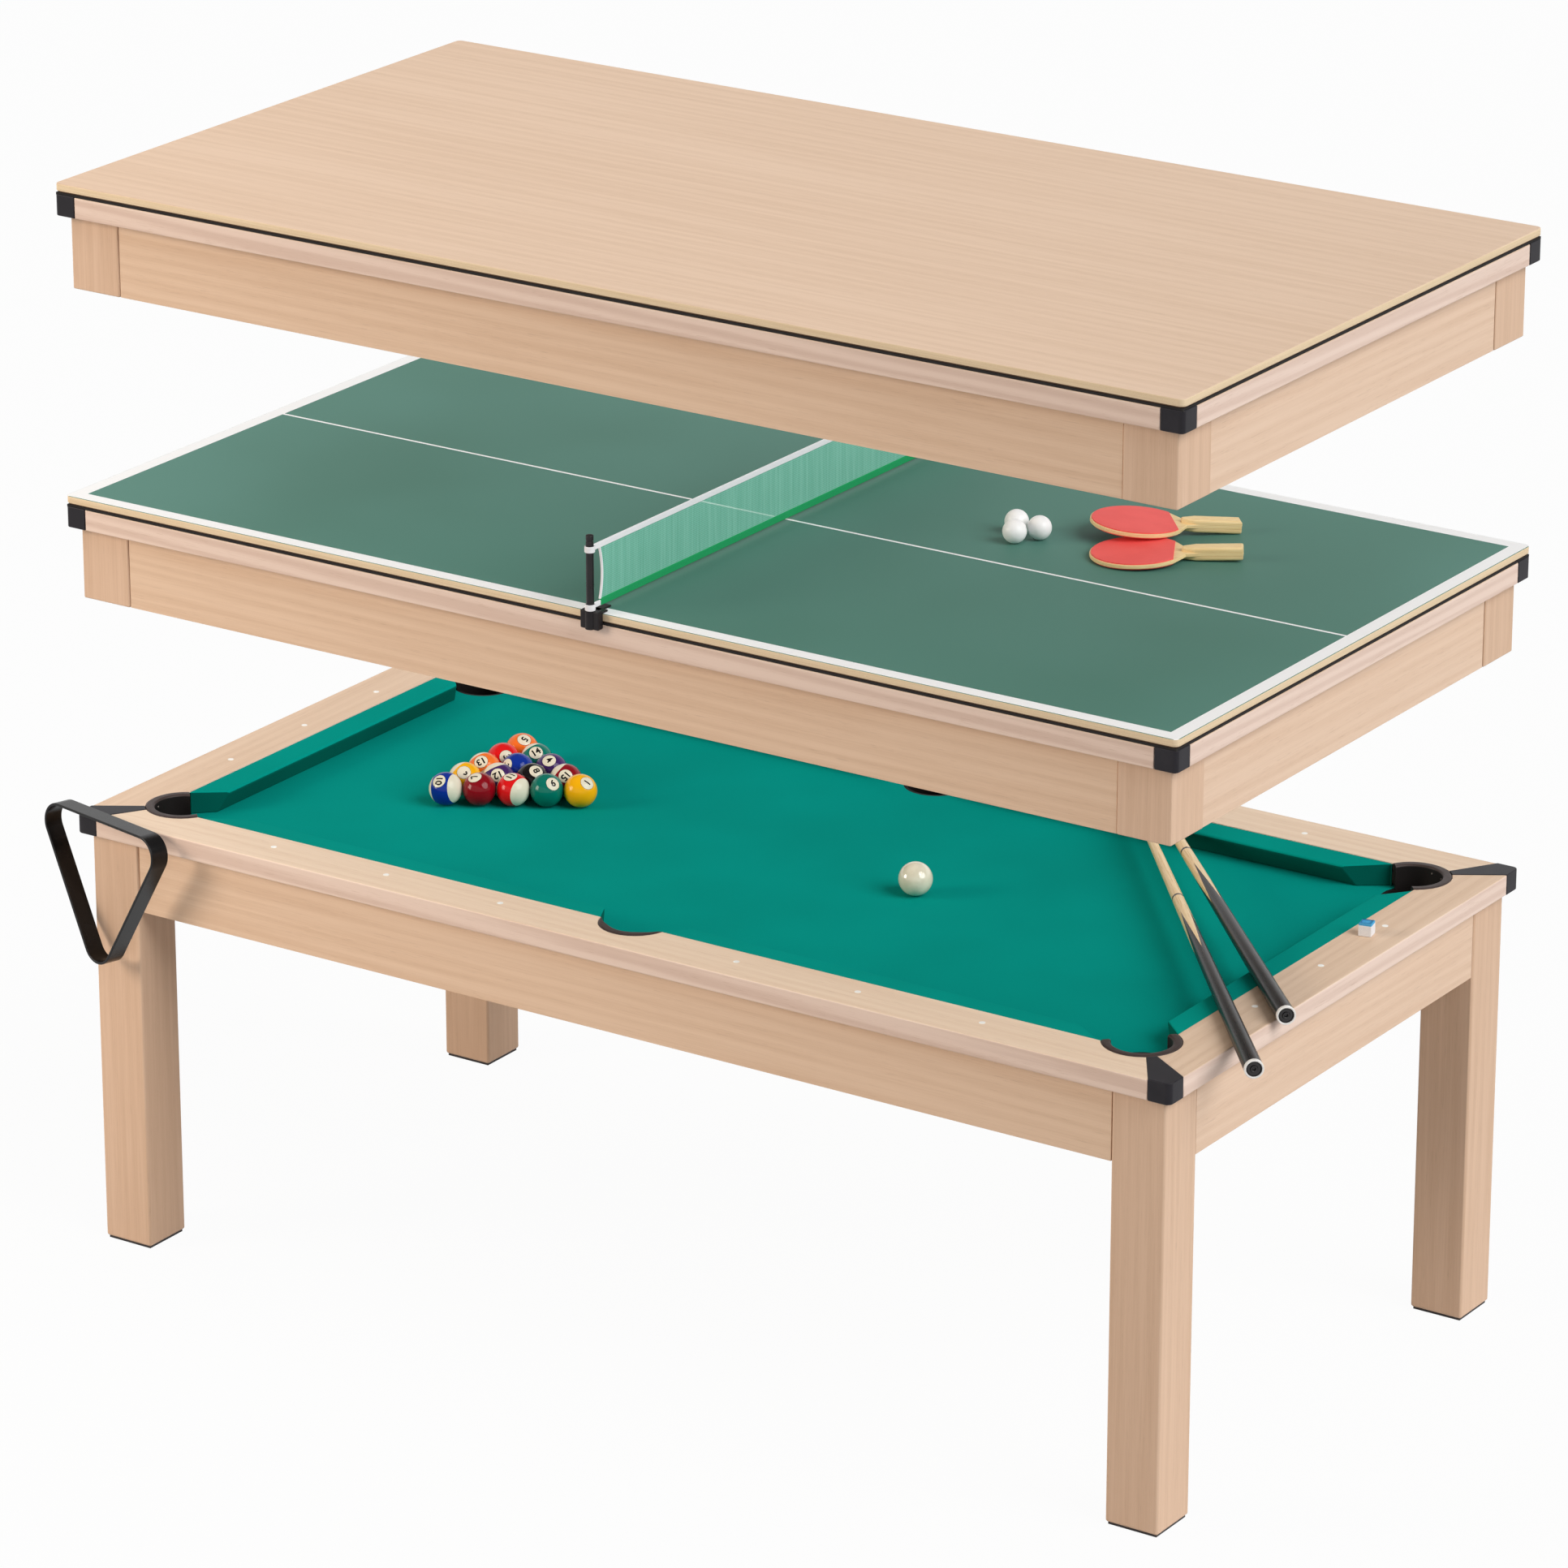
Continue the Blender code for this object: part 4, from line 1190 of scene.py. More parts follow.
@dataclass
class TableFrame:
    """Legs, feet, aprons, beams, rails, sights and corner caps of the pool table."""

    leg_soften: float = 0.0012
    rail_soften: float = 0.0028
    cap_soften: float = 0.0016
    apron_end_gap: float = 0.0009
    apron_soften: float = 0.0008
    sight_radius: float = 0.0052
    sight_rise: float = 0.0002
    sight_depth: float = 0.0008
    sight_inset: float = 0.055
    sight_steps: int = 24
    long_sights: tuple[float, ...] = (0.231, -0.231, 0.461, -0.461, 0.692, -0.692)
    end_sights: tuple[float, ...] = (0.0, 0.207, -0.207)

    def __post_init__(self) -> None:
        """Make the finishes of the frame."""
        self.cap = MouldedPlastic("cap_black")
        self.sight = Ivory("sight_pearl", (255, 255, 252), (255, 250, 244), 0.25, 0.2)

    def build(self) -> None:
        """Make every piece of the frame."""
        for corner in CORNERS:
            self._corner(corner)
        for side in OUTWARDS:
            self._apron(side)
            self._rail(side)
        for end in ENDS:
            dress_node("beam_" + end, APRON_ACROSS)
        self._sights()

    def _corner(self, corner: str) -> None:
        """A leg with its edges eased on its plate, and the corner cap with soft edges.

        Args:
            corner: The corner of the table.
        """
        leg = Shape.of_node("leg_" + corner).softened(self.leg_soften, 2)
        leg.put("post_" + corner, "table", "ash_wood", UPRIGHT, ["leg_" + corner])
        dress_node("foot_" + corner, MouldedPlastic("foot_grey", (58, 54, 54), (70, 66, 66), 0.5))
        cap = Shape.of_node("corner_cap_" + corner).softened(self.cap_soften, 3, 25.0)
        cap.put("cap_" + corner, "table", "cap_plastic", self.cap, ["corner_cap_" + corner])

    def _apron(self, side: str) -> None:
        """An apron that leaves a fine dark seam at each leg.

        Args:
            side: The side or end of the table.
        """
        span, ease = Span.of("apron_" + side), Vector()
        ease[1 - OUTWARDS[side][0]] = self.apron_end_gap
        board = Shape.block(span.low + ease, span.high - ease).softened(self.apron_soften, 2)
        board.put("apron_board_" + side, "table", "ash_wood", woods(side)[0], ["apron_" + side])

    def _rail(self, side: str) -> None:
        """A rail with its long edges rounded over.

        Args:
            side: The side or end of the table.
        """
        low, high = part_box("rail_" + side)
        axis, sign = OUTWARDS[side]
        outer = lying_at(axis, high[axis] if sign > 0 else low[axis])
        rail = Shape.of_node("rail_" + side).softened(self.rail_soften, 4, 30.0, outer)
        rail.put("rail_board_" + side, "table", "ash_wood", woods(side)[1:], ["rail_" + side], upward)

    def _sights(self) -> None:
        """Round pearl sights let into the rails."""
        half, top = rails().size / 2, rails().high.z
        for side in OUTWARDS:
            shape = Shape()
            places = self.long_sights if side in SIDES else self.end_sights
            for spot in at_side(side, half, ((along, self.sight_inset) for along in places)):
                outline = circle(spot, self.sight_radius, self.sight_steps)
                disc = Shape.plate(outline, top - self.sight_depth, top + self.sight_rise)
                shape.joined(disc.softened(self.sight_rise / 2, 1))
            shape.put("sights_" + side, "table", "ash_wood", self.sight)


@dataclass
class Pockets:
    """Rims, liners and rivets of the six pockets."""

    corner_setback: float = 0.127
    corner_rim: float = 0.064
    corner_mouth: float = 0.048
    side_setback: float = 0.107
    side_rim: float = 0.061
    side_mouth: float = 0.050
    side_lip: float = 0.0435
    tip_width: float = 0.0015
    tip_soften: float = 0.0012
    wall: float = 0.006
    floor: float = 0.004
    floor_round: float = 0.008
    clearance: float = 0.0003
    rounding: float = 0.0045
    least_crown: float = 0.001
    skin_face: float = 0.25
    cut_margin: float = 0.01
    steps: int = 96
    flare_steps: int = 128
    rivets: int = 3
    rivet_radius: float = 0.0016
    rivet_drop: float = 0.011
    rivet_spread: float = math.radians(34)

    def __post_init__(self) -> None:
        """Read the heights from the frame."""
        pocket = Span.of("pocket_near")
        self.half = rails().size / 2
        self.rail_width = self.half.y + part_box("rail_near")[1].y
        self.top, self.bottom = pocket.high.z, pocket.low.z
        self.rail_bottom, self.cloth = rails().low.z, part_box(BED_SECTIONS[0])[1].z
        self.rim_skin = Leather("pocket_rim", (68, 55, 52), (52, 42, 40), 0.36)
        self.liner = Leather("pocket_liner", (26, 21, 20), (16, 13, 12), 0.5)
        self.rivet = MouldedPlastic("pocket_rivet", (120, 112, 106), (150, 142, 136), 0.3)

    def build(self) -> None:
        """Make all six pockets."""
        for corner, (sx, sy) in CORNERS.items():
            self._corner_pocket(corner, self.corner_centre(sx, sy), math.atan2(-sy, -sx))
        for side, sy in SIDES.items():
            self._side_pocket(side, self.side_centre(sy), sy)

    def corner_centre(self, sx: int, sy: int) -> Point:
        """The middle of a corner pocket."""
        return from_corner([(self.corner_setback,) * 2], sx, sy)[0]

    def side_centre(self, sy: int) -> Point:
        """The middle of a side pocket."""
        return (0.0, sy * (self.half.y - self.side_setback))

    def reach(self, rim: float, setback: float) -> float:
        """How far a rim of some radius and setback runs along the rail's inner edge."""
        return math.sqrt(rim**2 - (setback - self.rail_width) ** 2)

    def _rim_profile(self, rim: float, mouth: float, cup: float) -> list[Point]:
        """The rim's section: its inner wall, rounded top and outer side.

        Args:
            rim: The rim's outer radius.
            mouth: Its inner radius.
            cup: The outer radius of the cup under it.

        Returns:
            The corners of the section.
        """
        crown = (rim + mouth) / 2
        ease = min(self.rounding, (rim - mouth) / 2 - self.least_crown)
        inner = arc((mouth + ease, self.top - ease), ease, math.pi, math.pi / 2, 5)
        outer = arc((rim - ease, self.top - ease), ease, math.pi / 2, 0.0, 5)
        low = self.rail_bottom
        section = [(mouth, self.cloth), *inner, (crown, self.top), *outer, (rim, low), (cup, low)]
        return [*section, (cup, self.cloth), (mouth, self.cloth)]

    def _liner(self, name: str, centre: Point, mouth: float) -> None:
        """The cup under the cloth's level.

        Args:
            name: The corner or side.
            centre: The pocket's middle.
            mouth: The cup's inner radius.
        """
        cup, top, low, ease = mouth + self.wall, self.cloth - self.clearance, self.bottom, self.floor_round
        profile = [(0, low + self.floor), (mouth - ease, low + self.floor)]
        profile += arc((mouth - ease, low + self.floor + ease), ease, -math.pi / 2, 0.0, 4)[1:]
        profile += [(mouth, top), (cup, top), (cup, low), (0, low)]
        liner = Shape.turned(profile, self.steps).moved((*centre, 0))
        liner.put("liner_" + name, "table", "pocket_leather", self.liner, ["pocket_" + name])

    def _put_rim(self, rim: Shape, name: str) -> None:
        """Finish a rim with its skin on what faces up, and the liner inside and below."""
        finishes, node = [self.rim_skin, self.liner], "pocket_" + name
        rim.put("rim_" + name, "table", "pocket_leather", finishes, [node], self._rim_face)

    def _rim_face(self, face: bmesh.types.BMFace) -> int:
        """0 for the skin and 1 for the liner."""
        return 0 if face.normal.z > self.skin_face else 1

    def _corner_pocket(self, corner: str, centre: Point, facing: float) -> None:
        """A corner pocket, open towards the middle of the field.

        Args:
            corner: The corner of the table.
            centre: The pocket's middle.
            facing: The way its mouth looks, as a turn about Z.
        """
        drop = self.corner_setback - self.rail_width
        opening = (self.reach(self.corner_rim, self.corner_setback) - drop) / math.sqrt(2)
        cup = self.corner_mouth + self.wall
        rim = Shape.turned(self._rim_profile(self.corner_rim, self.corner_mouth, cup), self.steps)
        rim.cut((opening, 0, 0), (1, 0, 0)).softened(self.tip_soften, 2, 50.0, lying_at(0, opening))
        place = Matrix.Translation((*centre, 0)) @ Matrix.Rotation(facing, 4, "Z")
        self._put_rim(rim.moved(place), corner)
        self._liner(corner, centre, self.corner_mouth)
        self._rivets(corner, place)

    def _side_pocket(self, side: str, centre: Point, sy: int) -> None:
        """A side pocket, whose rim thins to a tip at both ends.

        Args:
            side: The side of the table.
            centre: The pocket's middle.
            sy: The side's sign.
        """
        across = self.reach(self.side_rim, self.side_setback) - self.tip_width
        rise = self.side_lip - (self.side_setback - self.rail_width)
        flare = (across**2 + rise**2) / (2 * rise)
        cup = self.side_mouth + self.wall
        rim = Shape.turned(self._rim_profile(self.side_rim, self.side_lip, cup), self.steps)
        low, high = self.cloth - self.cut_margin, self.top + self.cut_margin
        tool = Shape.cylinder(flare, low, high, self.flare_steps).moved((0, sy * (self.side_lip - flare), 0))
        self._put_rim(carve(rim, tool).moved((*centre, 0)), side)
        self._liner(side, centre, self.side_mouth)

    def _rivets(self, corner: str, place: Matrix) -> None:
        """Small domed rivets on the back of a corner pocket's inner wall.

        Args:
            corner: The corner of the table.
            place: Where the pocket is and how it is turned.
        """
        shape = Shape()
        for number in range(self.rivets):
            turn = math.pi + (number - (self.rivets - 1) / 2) * self.rivet_spread
            x, y = self.corner_mouth * math.cos(turn), self.corner_mouth * math.sin(turn)
            shape.joined(Shape.ball(self.rivet_radius, 12, 8).moved((x, y, self.top - self.rivet_drop)))
        shape.moved(place).put("rivets_" + corner, "table", "pocket_leather", self.rivet)


@dataclass
class Playfield:
    """The bed in its three sections, the one cloth over them and the six cushions."""

    pockets: Pockets
    cloth_thickness: float = 0.0010
    board_gap: float = 0.0002
    nose_height: float = 0.0365
    nose_shade: float = 0.0015
    nose_soften: float = 0.0018
    # Faces under the nose that look up less than this take the painted shade
    painted_shade_face: float = 0.3
    clearance: float = 0.0003
    corner_hole: float = 0.0543
    side_hole: float = 0.0563
    facing_width: float = 0.0017
    facing_depth: float = 0.0040
    facing_drop: float = 0.0009

    def __post_init__(self) -> None:
        """Read the bed's box and make the finishes."""
        self.bed = Span.of(*BED_SECTIONS)
        self.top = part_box("cushion_left")[1].z
        self.underside = self.bed.high.z - self.cloth_thickness
        self.cloth = PlayingCloth("playing_cloth")
        self.cover = PlayingCloth("cushion_cloth", (0, 152, 140), (0, 143, 131))
        # A darker copy of the cushion cloth: painted shade for the faces under the noses and for the facings
        self.shaded = PlayingCloth("cushion_cloth_painted_shade", (0, 104, 92), (0, 92, 82))

    def build(self) -> None:
        """Make the bed, its cloth and the cushions."""
        board = AshWood("bed_board", Grain.ALONG, (206, 180, 150), (176, 146, 114))
        for section in BED_SECTIONS:
            bed = Shape.of_node(section)
            for vert in bed.bm.verts:
                vert.co.z = min(vert.co.z, self.underside - self.board_gap)
            bed.put(section.replace("playfield", "bed"), "table", "green_cloth", board, [section])
        self._cloth()
        for name in [f"{side}_{end}" for side in SIDES for end in ENDS] + list(ENDS):
            self._cushion(name)
        self._facings()

    def _cloth(self) -> None:
        """One cloth over the whole bed, cut out round the pockets."""
        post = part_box("leg_far_right")[0]
        notch = (post.x - self.clearance, post.y - self.clearance)
        quarter = [(self.bed.high.x, notch[1]), notch, (notch[0], self.bed.high.y)]
        outline: list[Point] = []
        for sx, sy in ((1, 1), (-1, 1), (-1, -1), (1, -1)):
            turned = [(sx * x, sy * y) for x, y in quarter]
            outline += turned if sx * sy > 0 else reversed(turned)
        sheet = Shape.plate(outline, self.underside, self.bed.high.z)
        centres = [(self.pockets.corner_centre(sx, sy), self.corner_hole) for sx, sy in CORNERS.values()]
        centres += [(self.pockets.side_centre(sy), self.side_hole) for sy in SIDES.values()]
        margin, steps, holes = self.pockets.cut_margin, self.pockets.steps, Shape()
        low, high = self.underside - margin, self.bed.high.z + margin
        for centre, radius in centres:
            holes.joined(Shape.cylinder(radius, low, high, steps).moved((*centre, 0)))
        laid = carve(sheet, holes).put("bed_cloth", "table", "green_cloth", self.cloth, BED_SECTIONS)

    def _cushion(self, name: str) -> None:
        """A cushion in its cloth, whose face under the nose takes a darker cloth: painted shade.

        Args:
            name: The side and end, or the end alone.
        """
        shade_top = self.bed.high.z + self.nose_height - self.nose_shade

        def under_nose(face: bmesh.types.BMFace) -> int:
            """1 for the faces between the nose and the bed, which take the painted shade, and 0 for the rest.
            """
            return 1 if face.calc_center_median().z < shade_top and face.normal.z < self.painted_shade_face else 0

        node, finishes = "cushion_" + name, [self.cover, self.shaded]
        cushion = Shape.of_node(node).softened(self.nose_soften, 4, 20.0)
        cover = cushion.put("cushion_cover_" + name, "table", "green_cloth", finishes, [node], under_nose)

    def _facings(self) -> None:
        """Thin facings between the cushions' ends and the pockets' rims, in the darker cloth of painted
        shade.
        """
        pockets = self.pockets
        low, high = self.bed.high.z + self.clearance, self.top - self.facing_drop
        near, far = pockets.rail_width + self.clearance, pockets.rail_width + self.facing_depth
        rim_end = pockets.corner_setback + pockets.reach(pockets.corner_rim, pockets.corner_setback)
        start, end = rim_end + self.clearance, rim_end + self.facing_width
        for corner, (sx, sy) in CORNERS.items():
            shape = Shape()
            for points in (((start, near), (end, far)), ((near, start), (far, end))):
                shape.joined(between(from_corner(points, sx, sy), low, high))
            # The darker cloth here is painted shade
            shape.put("facings_" + corner, "table", "green_cloth", self.shaded)
        rim_end = pockets.reach(pockets.side_rim, pockets.side_setback)
        start, end = rim_end + self.clearance, rim_end + self.facing_width
        for side in SIDES:
            shape = Shape()
            for sx in (-1, 1):
                points = at_side(side, pockets.half, ((sx * start, near), (sx * end, far)))
                shape.joined(between(points, low, high))
            shape.put("facings_" + side, "table", "green_cloth", self.shaded)


@dataclass
class Tier:
    """A lift-off board and the shallow frame of rails, caps, aprons and posts that carries it."""

    kind: str
    surface: Finish
    cap_reach: float = 0.040
    cap_rise: float = 0.0010
    cap_corner: float = 0.008
    cap_soften: float = 0.0014
    mitre: float = 0.095
    post_side: float = 0.096
    post_inset: float = 0.018
    post_soften: float = 0.0024
    apron_inset: float = 0.020
    apron_thickness: float = 0.018
    apron_soften: float = 0.0008
    seam: float = 0.0010
    board_soften: float = 0.0016
    board_undercut: float = 0.0032
    # Faces of the board that look down more than this take the painted shade
    painted_shade_face: float = -0.2
    shadow_gap: float = 0.004
    strip_inset: float = 0.0020
    strip_depth: float = 0.020
    strip_tuck: float = 0.0004
    soften: float = 0.0022

    def __post_init__(self) -> None:
        """Read the tier's boxes."""
        self.body = self.kind + "_tier"
        self.board = Span.of(self.kind + "_top")
        self.ring = Span.of(self.kind + "_rails")
        self.skirt = Span.of(self.kind + "_aprons")
        self.rail_top = self.ring.high.z - self.shadow_gap
        self.half = self.board.size / 2

    def build(self) -> None:
        """Make the board and its frame."""
        self._board()
        self._shadow_strip()
        for corner, (sx, sy) in CORNERS.items():
            self._corner(corner, sx, sy)
        for side in OUTWARDS:
            self._rail(side)
            self._apron(side)

    def _board(self) -> None:
        """The board, with its edge of another tone, eased more below than above, and painted shade on the
        lower chamfer.
        """

        def tone(face: bmesh.types.BMFace) -> int:
            """0 for the upper side, 1 for the edge and 2 for the lower chamfer and underside, which take
            painted shade.
            """
            return 0 if face.normal.z > LEVEL_FACE else 1 if face.normal.z > self.painted_shade_face else 2

        board = Shape.of_node(self.kind + "_top")
        board.softened(self.board_undercut, 1, 30.0, lying_at(2, self.board.low.z))
        board.softened(self.board_soften, 3, 30.0, lying_at(2, self.board.high.z))
        # Dark brown painted shade under the board's edge
        shade = BoardEdge("board_underside_painted_shade", (92, 66, 44), (70, 48, 32))
        finishes, slot = [self.surface, BoardEdge("board_edge"), shade], self.kind + "_laminate"
        board.put(self.kind + "_board", self.body, slot, finishes, [self.kind + "_top"], tone)

    def _shadow_strip(self) -> None:
        """A near-black strip between the board and the rails: painted shadow in the gap under the board."""
        depth = self.strip_depth
        half_x, half_y = self.half.x - self.strip_inset, self.half.y - self.strip_inset
        outer = [(-half_x, -half_y), (half_x, -half_y), (half_x, half_y), (-half_x, half_y)]
        inner = [(x - math.copysign(depth, x), y - math.copysign(depth, y)) for x, y in outer]
        strip = Shape.hoop(outer, inner, self.rail_top - self.strip_tuck, self.ring.high.z)
        # Near-black painted shadow for the gap under the board
        gap_shadow = ChalkDust("gap_painted_shadow", (14, 9, 8), (10, 6, 5), 0.0002)
        strip.put(self.kind + "_strip", self.body, "ash_wood", gap_shadow, [self.kind + "_rails"])

    def _corner(self, corner: str, sx: int, sy: int) -> None:
        """A corner cap, and the post under it.

        Args:
            corner: The corner of the table.
            sx: Its sign of X.
            sy: Its sign of Y.
        """
        reach = self.cap_reach - self.seam / 2
        points = from_corner([(0, 0), (reach, reach)], sx, sy)
        cap, outer = between(points, self.ring.low.z, self.rail_top + self.cap_rise), Vector(points[0])

        def outermost(edge: bmesh.types.BMEdge) -> bool:
            """Whether an edge is the upright one at the table's corner."""
            return all((vert.co.xy - outer).length < WELD for vert in edge.verts)

        cap.softened(self.cap_corner, 5, 30.0, outermost).softened(self.cap_soften, 3, 40.0)
        cap.put(f"{self.kind}_cap_{corner}", self.body, "ash_wood", MouldedPlastic("cap_black"))
        start, end = self.post_inset, self.post_inset + self.post_side
        points = from_corner([(start, start), (end, end)], sx, sy)
        post = between(points, self.skirt.low.z, self.skirt.high.z).softened(self.post_soften, 3)
        post.put(f"{self.kind}_post_{corner}", self.body, "ash_wood", UPRIGHT, [self.kind + "_aprons"])

    def _rail(self, side: str) -> None:
        """A rail between two caps, mitred behind them.

        Args:
            side: The side or end of the table.
        """
        axis, sign = OUTWARDS[side]
        length, reach = self.half[1 - axis], self.cap_reach + self.seam / 2
        start = [(length - reach, 0.0), (length - reach, reach - self.seam)]
        start.append((length - self.mitre - self.seam / 4, self.mitre))
        outline = start + [(-along, inwards) for along, inwards in reversed(start)]
        rail = Shape.plate(at_side(side, self.half, outline), self.ring.low.z, self.rail_top)
        rail.softened(self.soften, 4, 30.0, lying_at(axis, sign * self.half[axis]))
        name, nodes = f"{self.kind}_rail_{side}", [self.kind + "_rails"]
        rail.put(name, self.body, "ash_wood", woods(side)[1:], nodes, upward)

    def _apron(self, side: str) -> None:
        """An apron between two posts, a little back from their faces.

        Args:
            side: The side or end of the table.
        """
        along = self.half[1 - OUTWARDS[side][0]] - self.post_inset - self.post_side - self.seam
        corners = [(-along, self.apron_inset), (along, self.apron_inset + self.apron_thickness)]
        board = between(at_side(side, self.half, corners), self.skirt.low.z, self.skirt.high.z)
        name, nodes = f"{self.kind}_apron_{side}", [self.kind + "_aprons"]
        board.softened(self.apron_soften, 2).put(name, self.body, "ash_wood", woods(side)[0], nodes)


@dataclass
class TennisNet:
    """The net with its tape, band, side cords and straps, and the posts and clamps that hold it."""

    side_setback: float = 0.016
    tape_height: float = 0.010
    tape_end_gap: float = 0.001
    tape_soften: float = 0.0009
    band_height: float = 0.012
    tape_thickness: float = 0.0026
    cord_radius: float = 0.0022
    cord_sides: int = 10
    cord_steps: int = 24
    bow: float = 0.0065
    ripple: float = 0.0006
    ripple_turns: float = 23.0
    overlap: float = 0.002
    columns: int = 220
    rows: int = 16
    strap_wall: float = 0.0018
    strap_soften: float = 0.0005
    strap_steps: int = 48
    tail_half: float = 0.0012
    tail_inset: float = 0.0006
    tail_overlap: float = 0.001
    neck_drop: float = 0.011
    neck_height: float = 0.0028
    neck_depth: float = 0.0008
    post_round: float = 0.0015
    clearance: float = 0.0003
    post_gap: float = 0.0002
    socket_radius: float = 0.0085
    socket_soften: float = 0.0008
    block_span: Point = (0.0, 0.0135)
    block_soften: float = 0.0018
    arm_span: Point = (-0.036, 0.010)
    arm_half: float = 0.0085
    shoulder_span: Point = (-0.014, 0.008)
    arm_soften: float = 0.0012
    jaw_span: Point = (-0.009, 0.010)
    jaw_soften: float = 0.0010
    plate: float = 0.0030

    def __post_init__(self) -> None:
        """Read the net's heights and the posts' places from the frame."""
        self.net = Span.of("net")
        self.post = Span.of("net_post_near")
        self.post_radius = self.post.size.x / 2
        self.post_y = -self.post.middle.y
        self.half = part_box("tennis_top")[1].y - self.side_setback
        self.white = WovenTape("net_tape_white", (244, 244, 246), (226, 226, 230))
        self.green = WovenTape("net_band_green", (0, 158, 92), (0, 142, 80))

    def _bowed(self, share: float) -> float:
        """How far the net's side is drawn in, at a share of its height."""
        return self.bow * 4 * share * (1 - share)

    def build(self) -> None:
        """Make the net, its posts and clamps."""
        low, high = self.net.low.z + self.band_height, self.net.high.z - self.tape_height
        tape_reach = self.post_y - self.post_radius - self.tape_end_gap
        trims = [self._ribbon("tape", tape_reach, high, self.net.high.z, self.white)]
        trims.append(self._ribbon("band", self.half, self.net.low.z, low, self.green))
        trims += [*self._straps(), *self._side_cords(low, high)]
        sheet = Shape()
        bmesh.ops.create_grid(sheet.bm, x_segments=self.columns, y_segments=self.rows, size=1.0)
        for vert in sheet.bm.verts:
            along, share = vert.co.x, (vert.co.y + 1) / 2
            reach = self.half - self._bowed(share)
            wave = self.ripple * math.sin(along * self.ripple_turns) * math.sin(math.pi * share)
            height = low - self.overlap + (high - low + 2 * self.overlap) * share
            vert.co = Vector((wave, along * reach, height))
        mesh = sheet.put("net_mesh", "net", "net_fabric", NetMesh("net_mesh_green"), ["net"], sharp=180.0)
        for side, sy in SIDES.items():
            self._post(side, sy)
            self._clamp(side, sy)

    def _ribbon(self, name: str, reach: float, low: float, high: float, tape: WovenTape) -> bpy.types.Object:
        """A flat ribbon that runs along the net.

        Args:
            name: The end of its name.
            reach: How far it runs to each side.
            low: Its lower edge.
            high: Its upper edge.
            tape: Its finish.

        Returns:
            The piece.
        """
        half = self.tape_thickness / 2
        ribbon = Shape.block((-half, -reach, low), (half, reach, high)).softened(self.tape_soften, 3)
        return ribbon.put("net_" + name, "net", "net_fabric", tape, ["net"])

    def _straps(self) -> list[bpy.types.Object]:
        """White straps round the posts, at the tape's height and at the band's.

        Returns:
            The straps.
        """
        made = []
        inner = self.post_radius + self.clearance
        outer = inner + self.strap_wall
        levels = (
            ("top", self.net.high.z - self.tape_height, self.tape_height),
            ("foot", self.net.low.z, self.band_height - self.overlap),
        )
        for side, sy in SIDES.items():
            for level, low, tall in levels:
                rings = [circle((0.0, sy * self.post_y), size, self.strap_steps) for size in (outer, inner)]
                strap = Shape.hoop(*rings, low, low + tall).softened(self.strap_soften, 2, 60.0)
                if level == "foot":
                    start, end = self.post_y - outer + self.tail_overlap, self.half - self.overlap
                    points = [(-self.tail_half, sy * start), (self.tail_half, sy * end)]
                    tail = between(points, low + self.tail_inset, low + tall - self.tail_inset)
                    strap.joined(tail.softened(self.tail_inset, 2))
                name = f"net_strap_{level}_{side}"
                made.append(strap.put(name, "net", "net_fabric", self.white, ["net"]))
        return made

    def _side_cords(self, low: float, high: float) -> list[bpy.types.Object]:
        """The white binding down each side, bowed in by the net's pull.

        Args:
            low: Where it starts.
            high: Where it ends.

        Returns:
            The two cords.
        """
        made, steps, sides = [], self.cord_steps, self.cord_sides
        for side, sy in SIDES.items():
            cord = Shape()
            grown = bmesh.ops.create_circle(cord.bm, cap_ends=False, segments=sides, radius=self.cord_radius)
            ring = grown["verts"]
            bmesh.ops.translate(cord.bm, vec=(0, sy * self.half, low), verts=ring)
            edges = cord.bm.edges[:]
            for step in range(1, steps + 1):
                grown = bmesh.ops.extrude_edge_only(cord.bm, edges=edges)["geom"]
                ring = [item for item in grown if isinstance(item, bmesh.types.BMVert)]
                edges = [item for item in grown if isinstance(item, bmesh.types.BMEdge)]
                edges = [edge for edge in edges if all(vert in ring for vert in edge.verts)]
                inwards = sy * (self._bowed((step - 1) / steps) - self._bowed(step / steps))
                bmesh.ops.translate(cord.bm, vec=(0, inwards, (high - low) / steps), verts=ring)
            bmesh.ops.holes_fill(cord.bm, edges=[e for e in cord.bm.edges if e.is_boundary], sides=0)
            cord.righted()
            made.append(cord.put("net_side_" + side, "net", "net_fabric", self.white, ["net"]))
        return made

    def _post(self, side: str, sy: int) -> None:
        """A post with a rounded cap on a slimmer neck.

        Args:
            side: The side of the table.
            sy: Its sign.
        """
        low, high, radius, ease = self.post.low.z, self.post.high.z, self.post_radius, self.post_round
        neck, depth = high - self.neck_drop, self.neck_depth
        head = neck + self.neck_height
        profile = [(0, low), (radius, low), (radius, neck), (radius - depth, neck + depth)]
        profile += [(radius - depth, head - depth), (radius, head), (radius, high - ease)]
        profile += arc((radius - ease, high - ease), ease, 0.0, math.pi / 2, 4)[1:] + [(0, high)]
        post = Shape.turned(profile, 40).moved((0, sy * self.post_y, 0))
        black = MouldedPlastic("post_black", (24, 21, 23), (32, 29, 31), 0.22, shine=0.3)
        post.put("post_rod_" + side, "tennis_tier", "clamp_plastic", black, ["net_post_" + side])

